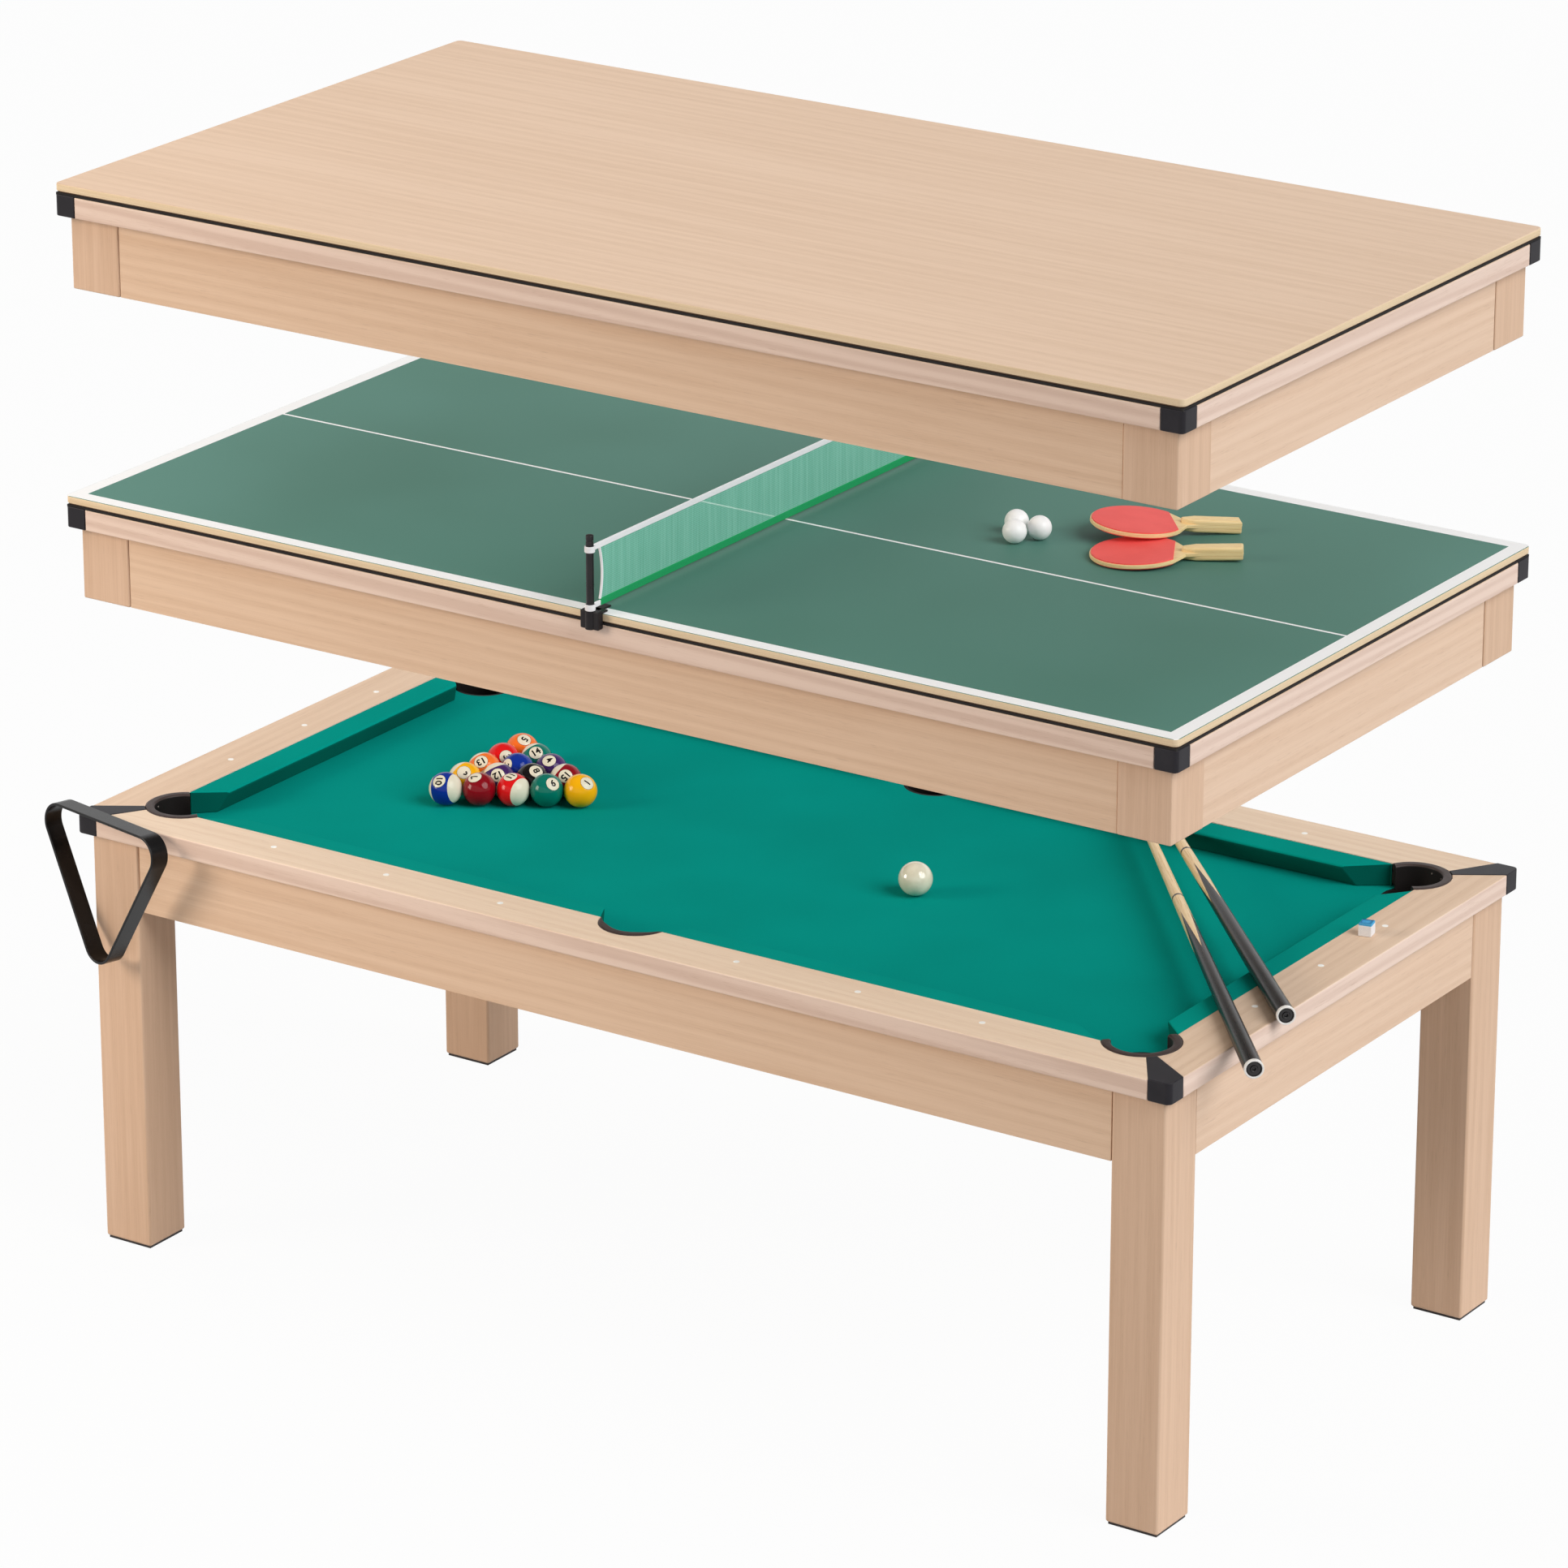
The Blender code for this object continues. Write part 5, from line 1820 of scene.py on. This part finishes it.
    def _clamp(self, side: str, sy: int) -> None:
        """The clamp's body with the post's socket in front, its arm on the board and its jaw.

        Args:
            side: The side of the table.
            sy: Its sign.
        """
        clamp, board = Span.of("net_clamp_" + side), Span.of("tennis_top")
        half_x, edge = clamp.size.x / 2, board.high.y + self.clearance
        low, top = clamp.low.z, self.post.low.z - self.post_gap
        arm, jaw = board.high.z + self.clearance, board.low.z - self.clearance

        def block(span: Point, low: float, high: float, half: float) -> Shape:
            """A block between two distances outwards from the board's edge."""
            return between([(-half, sy * (edge + span[0])), (half, sy * (edge + span[1]))], low, high)

        shape = block(self.block_span, low, top, half_x).softened(self.block_soften, 3)
        socket = Shape.cylinder(self.socket_radius, low, top, 32).softened(self.socket_soften, 2, 60.0)
        shape.joined(socket.moved((0, sy * self.post_y, 0)))
        for span, half in ((self.arm_span, self.arm_half), (self.shoulder_span, half_x)):
            shape.joined(block(span, arm, arm + self.plate, half).softened(self.arm_soften, 3))
        shape.joined(block(self.jaw_span, jaw - self.plate, jaw, half_x).softened(self.jaw_soften, 2))
        black = MouldedPlastic("clamp_black", (28, 25, 27), (36, 33, 35), 0.36)
        shape.put("clamp_" + side, "tennis_tier", "clamp_plastic", black, ["net_clamp_" + side])


@dataclass
class Bats:
    """Two tennis bats: a ply blade with rubber on both faces, and two handle scales."""

    length: float = 0.247
    head_width: float = 0.148
    head_length: float = 0.155
    blade: float = 0.010
    rubber: float = 0.0020
    rubber_inset: float = 0.0026
    handle_width: float = 0.027
    handle_thickness: float = 0.022
    handle_length: float = 0.098
    flare: float = 0.030
    neck: float = math.radians(38)
    shoulder: Point = (0.2, 1.25)
    grip_start: float = 0.35
    grip_flare: float = 0.75
    ply_soften: float = 0.0008
    rubber_soften: float = 0.0003
    scale_soften: float = 0.0042
    near_tip: Point = (0.503, 0.110)
    near_turn: float = math.radians(28.6)
    far_tip: Point = (0.456, 0.190)
    far_turn: float = math.radians(41.0)
    far_tilt: float = math.radians(4.4)
    lift_off: float = 0.0003
    steps: int = 60

    def build(self) -> None:
        """Place the near bat on the board and the far one over its head."""
        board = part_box("tennis_top")[1].z + self.lift_off
        lift = (self.handle_thickness - self.blade) / 2
        lying = math.asin(lift / (self.length - self.handle_length))
        self._bat("near", self.near_tip, self.near_turn, lying, board + self.blade / 2)
        end = board + self.handle_thickness / 2 * math.cos(self.far_tilt)
        height = end + self.length * math.sin(self.far_tilt)
        self._bat("far", self.far_tip, self.far_turn, -self.far_tilt, height)

    def _head(self, inset: float) -> list[Point]:
        """The head's oval, from one side of the neck round to the other.

        Args:
            inset: How far it lies inside the blade's edge.

        Returns:
            The points of the oval.
        """
        radius = self.head_length / 2
        stretch = (self.head_width / 2 - inset) / (radius - inset)
        oval = arc((radius, 0), radius - inset, self.neck, 2 * math.pi - self.neck, self.steps)
        return [(x, y * stretch) for x, y in oval]

    def _bat(self, which: str, tip: Point, turn: float, tilt: float, height: float) -> None:
        """Make one bat.

        Args:
            which: The near or the far one.
            tip: Where its blade's tip lies.
            turn: Its turn about Z.
            tilt: How far its handle rises.
            height: The height of its tip's middle.
        """
        place = Matrix.Translation((*tip, height)) @ Matrix.Rotation(turn, 4, "Z")
        place = place @ Matrix.Rotation(-tilt, 4, "Y")
        bat, ply = "bat_" + which, BatPly(f"bat_ply_{which}", turn=turn)

        def lay_down(shape: Shape, part: str, finish: Finish) -> None:
            """Put a part of this bat in its place."""
            shape.moved(place).put(f"{bat}_{part}", bat, "bat_face", finish, [bat])

        half, core = self.handle_width / 2, self.blade / 2 - self.rubber
        start, end = self.length - self.handle_length, (self.length, -half)
        wide = (start + self.flare * self.shoulder[0], -half * self.shoulder[1])
        outline = self._head(0.0) + mirrored([wide, (start + self.flare, -half), end])
        lay_down(Shape.plate(outline, -core, core).softened(self.ply_soften, 2, 50.0), "ply", ply)
        flared = (start + self.flare * self.grip_flare, -half)
        grip = mirrored([(start, -half * self.grip_start), flared, end])
        for face, sign in (("top", 1), ("back", -1)):
            ends = sorted((sign * core, sign * (core + self.rubber)))
            rubber = Shape.plate(self._head(self.rubber_inset), *ends).softened(self.rubber_soften, 2, 50.0)
            lay_down(rubber, "rubber_" + face, BatRubber("bat_rubber"))
            outer = sign * self.handle_thickness / 2
            scale = Shape.plate(grip, *sorted((sign * core, outer)))
            lay_down(scale.softened(self.scale_soften, 4, 40.0, lying_at(2, outer)), "scale_" + face, ply)


@dataclass(frozen=True)
class BallLook:
    """A numbered ball: its colour, and how it lies as the camera sees it."""

    number: int
    colour: Colour
    striped: bool
    spot: Point
    lean: float


YELLOW, BLUE, RED, PURPLE = (250, 180, 6), (14, 48, 150), (226, 20, 24), (66, 36, 100)
ORANGE, GREEN, MAROON, BLACK = (246, 118, 40), (2, 116, 100), (140, 8, 24), (20, 17, 20)


@dataclass
class Balls:
    """The fifteen racked balls, the cue ball and the three tennis balls."""

    radius: float = 0.028575
    row_start: Point = (-0.638, -0.095)
    turn: float = math.radians(31.2)
    view_yaw: float = math.radians(31.0)
    view_pitch: float = math.radians(20.0)
    digit_height: float = 0.0165
    digit_lift: float = 0.00005
    digit_weight: float = 0.0005
    digit_edge: float = 0.0016
    rows: tuple[tuple[BallLook, ...], ...] = (
        (
            BallLook(10, BLUE, True, (-0.36, 0.47), -10.0),
            BallLook(7, MAROON, False, (-0.25, 0.74), 200.0),
            BallLook(11, RED, True, (-0.14, 0.83), -50.0),
            BallLook(6, GREEN, False, (0.44, 0.41), 110.0),
            BallLook(1, YELLOW, False, (0.47, 0.49), 150.0),
        ),
        (
            BallLook(9, YELLOW, True, (0.00, 0.41), -45.0),
            BallLook(12, PURPLE, True, (0.02, 0.27), -65.0),
            BallLook(8, BLACK, False, (0.30, 0.55), 40.0),
            BallLook(15, MAROON, True, (0.05, 0.27), -40.0),
        ),
        (
            BallLook(13, ORANGE, True, (-0.14, 0.47), -61.0),
            BallLook(2, BLUE, False, (-0.65, 0.26), -20.0),
            BallLook(4, PURPLE, False, (-0.08, 0.60), 60.0),
        ),
        (
            BallLook(3, RED, False, (0.27, 0.15), 20.0),
            BallLook(14, GREEN, True, (0.02, 0.46), 120.0),
        ),
        (BallLook(5, ORANGE, False, (0.18, 0.64), -30.0),),
    )

    def build(self) -> None:
        """Make every ball."""
        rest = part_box("cue_ball")
        height = (rest[0].z + rest[1].z) / 2
        pitch = 2 * self.radius
        turn = Matrix.Rotation(self.turn, 4, "Z")
        for row, looks in enumerate(self.rows):
            for column, look in enumerate(looks):
                step = Vector((pitch * (column + row / 2), pitch * row * math.sin(math.pi / 3), 0))
                self._numbered(look, Vector((*self.row_start, height)) + turn @ step)
        self._plain("cue_ball_resin", "cue_ball", "cream_resin", Ivory("cue_ball_cream"))
        shell = Ivory("tennis_ball_white", (252, 252, 251), (249, 249, 250), 0.35, 0.0)
        for number in (1, 2, 3):
            node = f"tennis_ball_{number}"
            self._plain(node + "_shell", node, "white_plastic", shell)

    @staticmethod
    def _plain(name: str, node: str, slot: str, finish: Finish) -> None:
        """A smooth ball in the place of a CAD one."""
        shape = Shape.ball(Span.of(node).size.z / 2).moved(Span.of(node).middle)
        shape.put(name, node, slot, finish, [node], sharp=180.0)

    def _numbered(self, look: BallLook, centre: Vector) -> None:
        """A ball with its number on two sides.

        Args:
            look: What it looks like.
            centre: Its centre.
        """
        yaw, pitch = self.view_yaw, self.view_pitch
        right = Vector((math.cos(yaw), math.sin(yaw), 0))
        towards = Vector((math.sin(yaw) * math.cos(pitch), -math.cos(yaw) * math.cos(pitch), math.sin(pitch)))
        up = towards.cross(right)
        across, raised = look.spot
        spot = (across * right + raised * up + math.sqrt(1 - across**2 - raised**2) * towards).normalized()
        lean = math.radians(look.lean)
        head = math.cos(lean) * right + math.sin(lean) * up
        pole = (head - head.dot(spot) * spot).normalized()
        own = Matrix((spot, pole.cross(spot), pole))
        kind = "striped" if look.striped else "plain"
        finish = BallResin(f"ball_{look.number}_{kind}", look.colour, look.striped)
        ball = Shape.ball(self.radius).moved(centre)
        mark = ("on_ball", lambda point: own @ ((point - centre) / self.radius))
        name = f"ball_{look.number}"
        ball.put(name, "racked_balls", "coloured_resin", finish, ["racked_balls"], mark=mark, sharp=180.0)
        digits = self._digits(str(look.number))
        digits.moved(Matrix.Translation(centre) @ own.transposed().to_4x4())
        ink = MouldedPlastic("ball_ink", (12, 10, 12), (18, 16, 18), 0.15, 0.0)
        digits.put(name + "_number", "racked_balls", "coloured_resin", ink, sharp=180.0)

    def _digits(self, text: str) -> Shape:
        """Bend a number onto a ball about the origin.

        Args:
            text: The number.

        Returns:
            The digits, at +X and at -X, with their heads at +Z.
        """
        curve = bpy.data.curves.new("digits", "FONT")
        curve.body = text
        curve.size = self.digit_height
        curve.align_x = "CENTER"
        curve.align_y = "CENTER"
        curve.offset = self.digit_weight
        holder = bpy.data.objects.new("digits", curve)
        bpy.context.scene.collection.objects.link(holder)
        bpy.context.view_layer.update()
        mesh = bpy.data.meshes.new_from_object(holder.evaluated_get(bpy.context.evaluated_depsgraph_get()))
        bpy.data.objects.remove(holder, do_unlink=True)
        shape = Shape()
        shape.bm.from_mesh(mesh)
        bpy.data.meshes.remove(mesh)
        bmesh.ops.remove_doubles(shape.bm, verts=shape.bm.verts, dist=WELD)
        bmesh.ops.triangulate(shape.bm, faces=shape.bm.faces)
        long_edges = [edge for edge in shape.bm.edges if edge.calc_length() > self.digit_edge]
        bmesh.ops.subdivide_edges(shape.bm, edges=long_edges, cuts=3, use_grid_fill=True)
        bmesh.ops.triangulate(shape.bm, faces=shape.bm.faces)
        shape.moved(Matrix.Rotation(math.pi / 2, 4, "Z") @ Matrix.Rotation(math.pi / 2, 4, "X"))
        other = Shape()
        other.bm = shape.bm.copy()
        other.moved(Matrix.Rotation(math.pi, 4, "Z"))
        lifted = self.radius + self.digit_lift
        for half, sign in ((shape, 1), (other, -1)):
            for vert in half.bm.verts:
                y, z = vert.co.y, vert.co.z
                vert.co.x = sign * math.sqrt(lifted**2 - y**2 - z**2)
        return shape.joined(other)


@dataclass
class Cues:
    """Two cues with white collars, rubber bumpers and leather tips."""

    length: float = 1.17
    butt: float = 0.0155
    tip: float = 0.0065
    lift_off: float = 0.0003
    collar: float = 0.006
    ferrule: float = 0.018
    leather: float = 0.006
    crown: Point = (0.7, 0.0052)
    flat: float = 0.003
    rings: int = 60
    lip: float = 0.003
    collar_edge: float = 0.0008
    lip_edge: float = 0.0006
    seat: float = 0.004
    hole: float = 0.0030
    bumper_height: float = 0.0055
    from_hole: tuple[Point, ...] = ((0, 0.0008), (0.0006, 0.0002), (0.0024, 0.0002), (0.0034, 0.0022))
    from_lip: tuple[Point, ...] = ((0.0020, 0.0022), (0.0010, 0.0009), (0.0002, 0.0009), (0.0002, 0.0055))
    places: tuple[tuple[str, Point, float, float], ...] = (
        ("cue_1", (1.158, -0.463), math.radians(129.9), 0.55),
        ("cue_2", (1.090, -0.248), math.radians(132.9), 0.25),
    )

    def build(self) -> None:
        """Lay both cues on the rails."""
        rail_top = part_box("rail_near")[1].z
        slope = math.atan2(self.butt - self.tip, self.length)
        height = rail_top + self.lift_off + self.butt
        for node, start, turn, phase in self.places:
            lying = Matrix.Rotation(turn, 4, "Z") @ Matrix.Rotation(math.pi / 2 + slope, 4, "Y")
            self._cue(node, Matrix.Translation((*start, height)) @ lying, phase)

    def _radius(self, along: float) -> float:
        """The cue's radius at a distance from the end of its butt."""
        return self.butt + (self.tip - self.butt) * along / self.length

    def _cue(self, node: str, place: Matrix, phase: float) -> None:
        """Make one cue from its bumper to its tip.

        Args:
            node: The CAD node, which is also the body.
            place: Where its butt is and how it lies.
            phase: How far its points are turned.
        """

        def turn(part: str, profile: Sequence[Point], steps: int, finish: Finish) -> None:
            """Turn one plain part of the cue."""
            Shape.turned(profile, steps).moved(place).put(f"{node}_{part}", node, "cue_wood", finish, [node])

        back = place.inverted()
        end = self.length - self.leather
        run = (end - self.ferrule - self.collar) / self.rings
        heights = [self.collar + run * step for step in range(self.rings + 1)]
        profile = [(0, heights[0])] + [(self._radius(z), z) for z in heights] + [(0, heights[-1])]
        wood = CueWood(node + "_wood", self.length, phase=phase)
        mark = ("on_cue", lambda point: self._along_cue(back @ point))
        shaft = Shape.turned(profile, 40).moved(place)
        shaft.put(node + "_shaft", node, "cue_wood", wood, [node], mark=mark)
        white = Ivory("cue_collar_white", (244, 242, 238), (234, 232, 228), 0.3, 0.2)
        black = MouldedPlastic("cue_bumper", (18, 16, 17), (26, 24, 25), 0.2, shine=0.5)
        skin = Leather("cue_tip_leather", (58, 84, 120), (44, 66, 98), 0.7)
        ring, lip, seat = self._radius(0), self._radius(0) - self.lip, self.seat
        collar = [(lip, seat), (lip, self.lip_edge), (lip + self.lip_edge, 0), (ring - self.collar_edge, 0)]
        collar += [(ring, self.collar_edge), (ring, self.collar), (lip, self.collar), (lip, seat)]
        turn("collar", collar, 40, white)
        bumper = [(self.hole, seat)] + [(self.hole + out, height) for out, height in self.from_hole]
        bumper += [(lip - inwards, height) for inwards, height in self.from_lip]
        turn("bumper", [*bumper, (0, self.bumper_height), (0, seat), (self.hole, seat)], 40, black)
        low, top = end - self.ferrule, self._radius(end)
        turn("ferrule", [(0, low), (self._radius(low), low), (top, end), (0, end)], 32, white)
        crown = (top * self.crown[0], end + self.crown[1])
        turn("tip", [(0, end), (top, end), (top, end + self.flat), crown, (0, self.length)], 32, skin)

    @staticmethod
    def _along_cue(point: Vector) -> Vector:
        """The turn round the cue, as a direction, and the distance along it."""
        across = math.hypot(point.x, point.y) or 1.0
        return Vector((point.x / across, point.y / across, point.z))


# The side of an even triangle over the radius of the circle inside it
SIDE_TO_INNER = math.sqrt(12)


@dataclass
class Rack:
    """The black triangle that hangs over the near left corner."""

    side: float = 0.335
    corner_radius: float = 0.035
    wall: float = 0.0045
    depth: float = 0.034
    steps: int = 20
    bar_middle: Point = (-0.997, -0.56175)
    bar_turn: float = math.radians(-12.0)
    lean: float = math.radians(3.0)
    lift_off: float = 0.0003
    soften: float = 0.0011

    def _outline(self, side: float, radius: float) -> list[Point]:
        """A triangle with round corners, its bar along X at Y = 0 and its point at -Y.

        Args:
            side: Its side, with sharp corners.
            radius: The corners' radius.

        Returns:
            The outline.
        """
        drop = side * math.sin(math.pi / 3)
        middle = Vector((0, -drop / 3))
        pull = 1 - radius * SIDE_TO_INNER / side
        points: list[Point] = []
        for turn, corner in zip((-30, 90, 210), ((side / 2, 0), (-side / 2, 0), (0, -drop))):
            centre = middle + (Vector(corner) - middle) * pull
            start = math.radians(turn)
            points += arc(tuple(centre), radius, start, start + math.radians(120), self.steps)
        return points

    def build(self) -> None:
        """Hang the rack by its bar."""
        outer = self._outline(self.side, self.corner_radius)
        inner = self._outline(self.side - self.wall * SIDE_TO_INNER, self.corner_radius - self.wall)
        inner = [(x, y - self.wall) for x, y in inner]
        half = self.depth / 2
        hoop = Shape.hoop(outer, inner, -half, half).softened(self.soften, 3, 60.0)
        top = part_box("corner_cap_near_left")[1].z + self.lift_off
        height = top + self.wall * math.cos(self.lean) + half * math.sin(self.lean)
        standing = Matrix.Rotation(math.pi / 2, 4, "X") @ Matrix.Rotation(-self.lean, 4, "X")
        place = Matrix.Translation((*self.bar_middle, height)) @ Matrix.Rotation(self.bar_turn, 4, "Z")
        gloss = MouldedPlastic("rack_gloss", (12, 11, 12), (17, 16, 17), 0.2, shine=0.25)
        hoop.moved(place @ standing).put("rack_hoop", "rack", "rack_plastic", gloss, ["rack"])


@dataclass
class Chalk:
    """A cube of blue chalk in its white paper."""

    side: float = 0.022
    paper: float = 0.0185
    place: Point = (1.004, 0.157)
    turn: float = math.radians(12.0)
    dish: float = 0.0016
    dish_margin: float = 0.003
    paper_thickness: float = 0.0003
    tuck: float = 0.002
    paper_soften: float = 0.0009
    cake_soften: float = 0.0010
    level_face: float = 0.9

    def build(self) -> None:
        """Make the cake and the paper round it."""
        half, low = self.side / 2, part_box("chalk")[0].z
        where = Matrix.Translation((*self.place, low)) @ Matrix.Rotation(self.turn, 4, "Z")
        white = ChalkDust("chalk_paper", (240, 240, 242), (230, 231, 235), 0.00005)
        blue = ChalkDust("chalk_blue", (84, 178, 226), (62, 158, 214), 0.0004)
        sleeve = Shape.block((-half, -half, 0), (half, half, self.paper)).softened(self.paper_soften, 3)
        sleeve.moved(where).put("chalk_sleeve", "chalk", "chalk_cake", white, ["chalk"])
        half -= self.paper_thickness
        cake = Shape.block((-half, -half, self.paper - self.tuck), (half, half, self.side))
        cake.softened(self.cake_soften, 3)
        top = [face for face in cake.bm.faces if face.normal.z > self.level_face]
        inner = bmesh.ops.inset_region(cake.bm, faces=top, thickness=self.dish_margin)["faces"]
        middle = [face for face in cake.bm.faces if face.normal.z > self.level_face and face not in inner]
        bmesh.ops.poke(cake.bm, faces=middle)
        crown = max(cake.bm.verts, key=lambda vert: vert.co.z - 100 * vert.co.xy.length)
        crown.co.z -= self.dish
        cake.moved(where).put("chalk_block", "chalk", "chalk_cake", blue, ["chalk"])


class Level(Enum):
    """The three levels, each with the bodies that stand on it and the height that its lights aim at."""

    TABLE = (("table", "cue_1", "cue_2", "rack", "chalk", "cue_ball", "racked_balls"), 0.70)
    TENNIS = (
        ("tennis_tier", "net", "bat_near", "bat_far", "tennis_ball_1", "tennis_ball_2", "tennis_ball_3"),
        1.30,
    )
    DINING = (("dining_tier",), 1.83)


@dataclass
class Studio:
    """The camera, the pale floor and the soft lights."""

    place: tuple[float, float, float] = (6.259, -9.383, 5.046)
    yaw: float = math.radians(33.76)
    pitch: float = math.radians(20.29)
    lens: float = 167.18
    sensor: float = 36.0
    far_clip: float = 200.0
    floor_size: float = 160.0
    floor_white: float = 0.96
    floor_tone: Colour = (200, 200, 200)
    sky: float = 0.17
    key: float = 2.45
    key_angle: float = math.radians(42)
    key_from: tuple[float, float, float] = (0.80, -0.04, 0.60)
    top: float = 0.42
    top_angle: float = math.radians(100)
    fill: float = 190.0
    fill_tint: Colour = (255, 240, 224)
    fill_from: tuple[float, float, float] = (-4.1, -4.2, 2.0)
    fill_size: float = 2.2

    def build(self) -> None:
        """Set up the studio."""
        scene = bpy.context.scene
        scene.view_settings.view_transform = "Standard"
        camera = bpy.data.cameras.new("camera")
        camera.lens, camera.sensor_width, camera.clip_end = self.lens, self.sensor, self.far_clip
        holder = bpy.data.objects.new("camera", camera)
        holder.location = self.place
        holder.rotation_euler = (math.pi / 2 - self.pitch, 0.0, self.yaw)
        scene.collection.objects.link(holder)
        scene.camera = holder
        floor = self._floor()
        self._world()
        for level in Level:
            bodies, height = level.value
            lit = bpy.data.collections.new("lit_" + level.name.lower())
            for body in bodies:
                for piece in PIECES.get(body, []):
                    lit.objects.link(piece)
            if level is Level.TABLE:
                lit.objects.link(floor)
            self._lamps(level.name.lower(), lit, height)

    def _floor(self) -> bpy.types.Object:
        """A pale floor that shows the studio's white and keeps a faint shadow.

        Returns:
            The floor.
        """
        shape = Shape()
        bmesh.ops.create_grid(shape.bm, x_segments=1, y_segments=1, size=self.floor_size / 2)
        floor = shape.spent("floor")
        material = bpy.data.materials.new("floor_white")
        paint = Paint(material)
        paint.set(base_color=linear(self.floor_tone), roughness=0.9, specular_ior_level=0.0)
        share, matt = paint.studio_rays() * self.floor_white, Shade(paint, paint.shader.outputs[0])
        white = paint.node("ShaderNodeEmission", {}, {"Color": (1, 1, 1, 1), "Strength": 1.0})
        mixed = paint.node("ShaderNodeMixShader", {}, {0: share, 1: matt, 2: white})
        paint.link(paint.tree.nodes["Material Output"].inputs["Surface"], mixed)
        floor.data.materials.append(material)
        return floor

    def _world(self) -> None:
        """An even pale sky, white where it is seen or mirrored."""
        world = bpy.data.worlds.new("studio")
        bpy.context.scene.world = world
        paint = Paint(world)
        paint.set(color=(1, 1, 1, 1), strength=self.sky + (1.0 - self.sky) * paint.studio_rays())

    def _lamps(self, name: str, lit: bpy.types.Collection, height: float) -> None:
        """Light one level as if it stood alone, as the photograph shows it.

        Args:
            name: The level's name.
            lit: Its pieces, which alone take this light and cast shadows in it.
            height: The height that the lights aim at.
        """
        key = bpy.data.lights.new("key_" + name, "SUN")
        key.energy, key.angle = self.key, self.key_angle
        top = bpy.data.lights.new("top_" + name, "SUN")
        top.energy, top.angle = self.top, self.top_angle
        fill = bpy.data.lights.new("fill_" + name, "AREA")
        fill.energy, fill.size, fill.color = self.fill, self.fill_size, linear(self.fill_tint)[:3]
        aims = ((key, Vector(self.key_from)), (top, Vector((0, 0, 1))), (fill, Vector(self.fill_from)))
        for light, towards in aims:
            holder = bpy.data.objects.new(light.name, light)
            holder.location = Vector((0, 0, height)) + towards
            holder.rotation_euler = towards.to_track_quat("Z", "Y").to_euler()
            holder.light_linking.receiver_collection = lit
            holder.light_linking.blocker_collection = lit
            bpy.context.scene.collection.objects.link(holder)


def main() -> None:
    """Build every sub-assembly and the studio round it."""
    logging.basicConfig(level=logging.INFO, format="%(message)s")
    TableFrame().build()
    pockets = Pockets()
    pockets.build()
    Playfield(pockets).build()
    board = Span.of("tennis_top")
    court = CourtPaint("tennis_court", board.size.x / 2, board.size.y / 2)
    Tier("tennis", court).build()
    laminate = AshWood("dining_ash", Grain.ALONG, (230, 201, 175), (220, 189, 161))
    Tier("dining", laminate).build()
    TennisNet().build()
    Bats().build()
    Balls().build()
    Cues().build()
    Rack().build()
    Chalk().build()
    Studio().build()


if __name__ == "__main__":
    main()
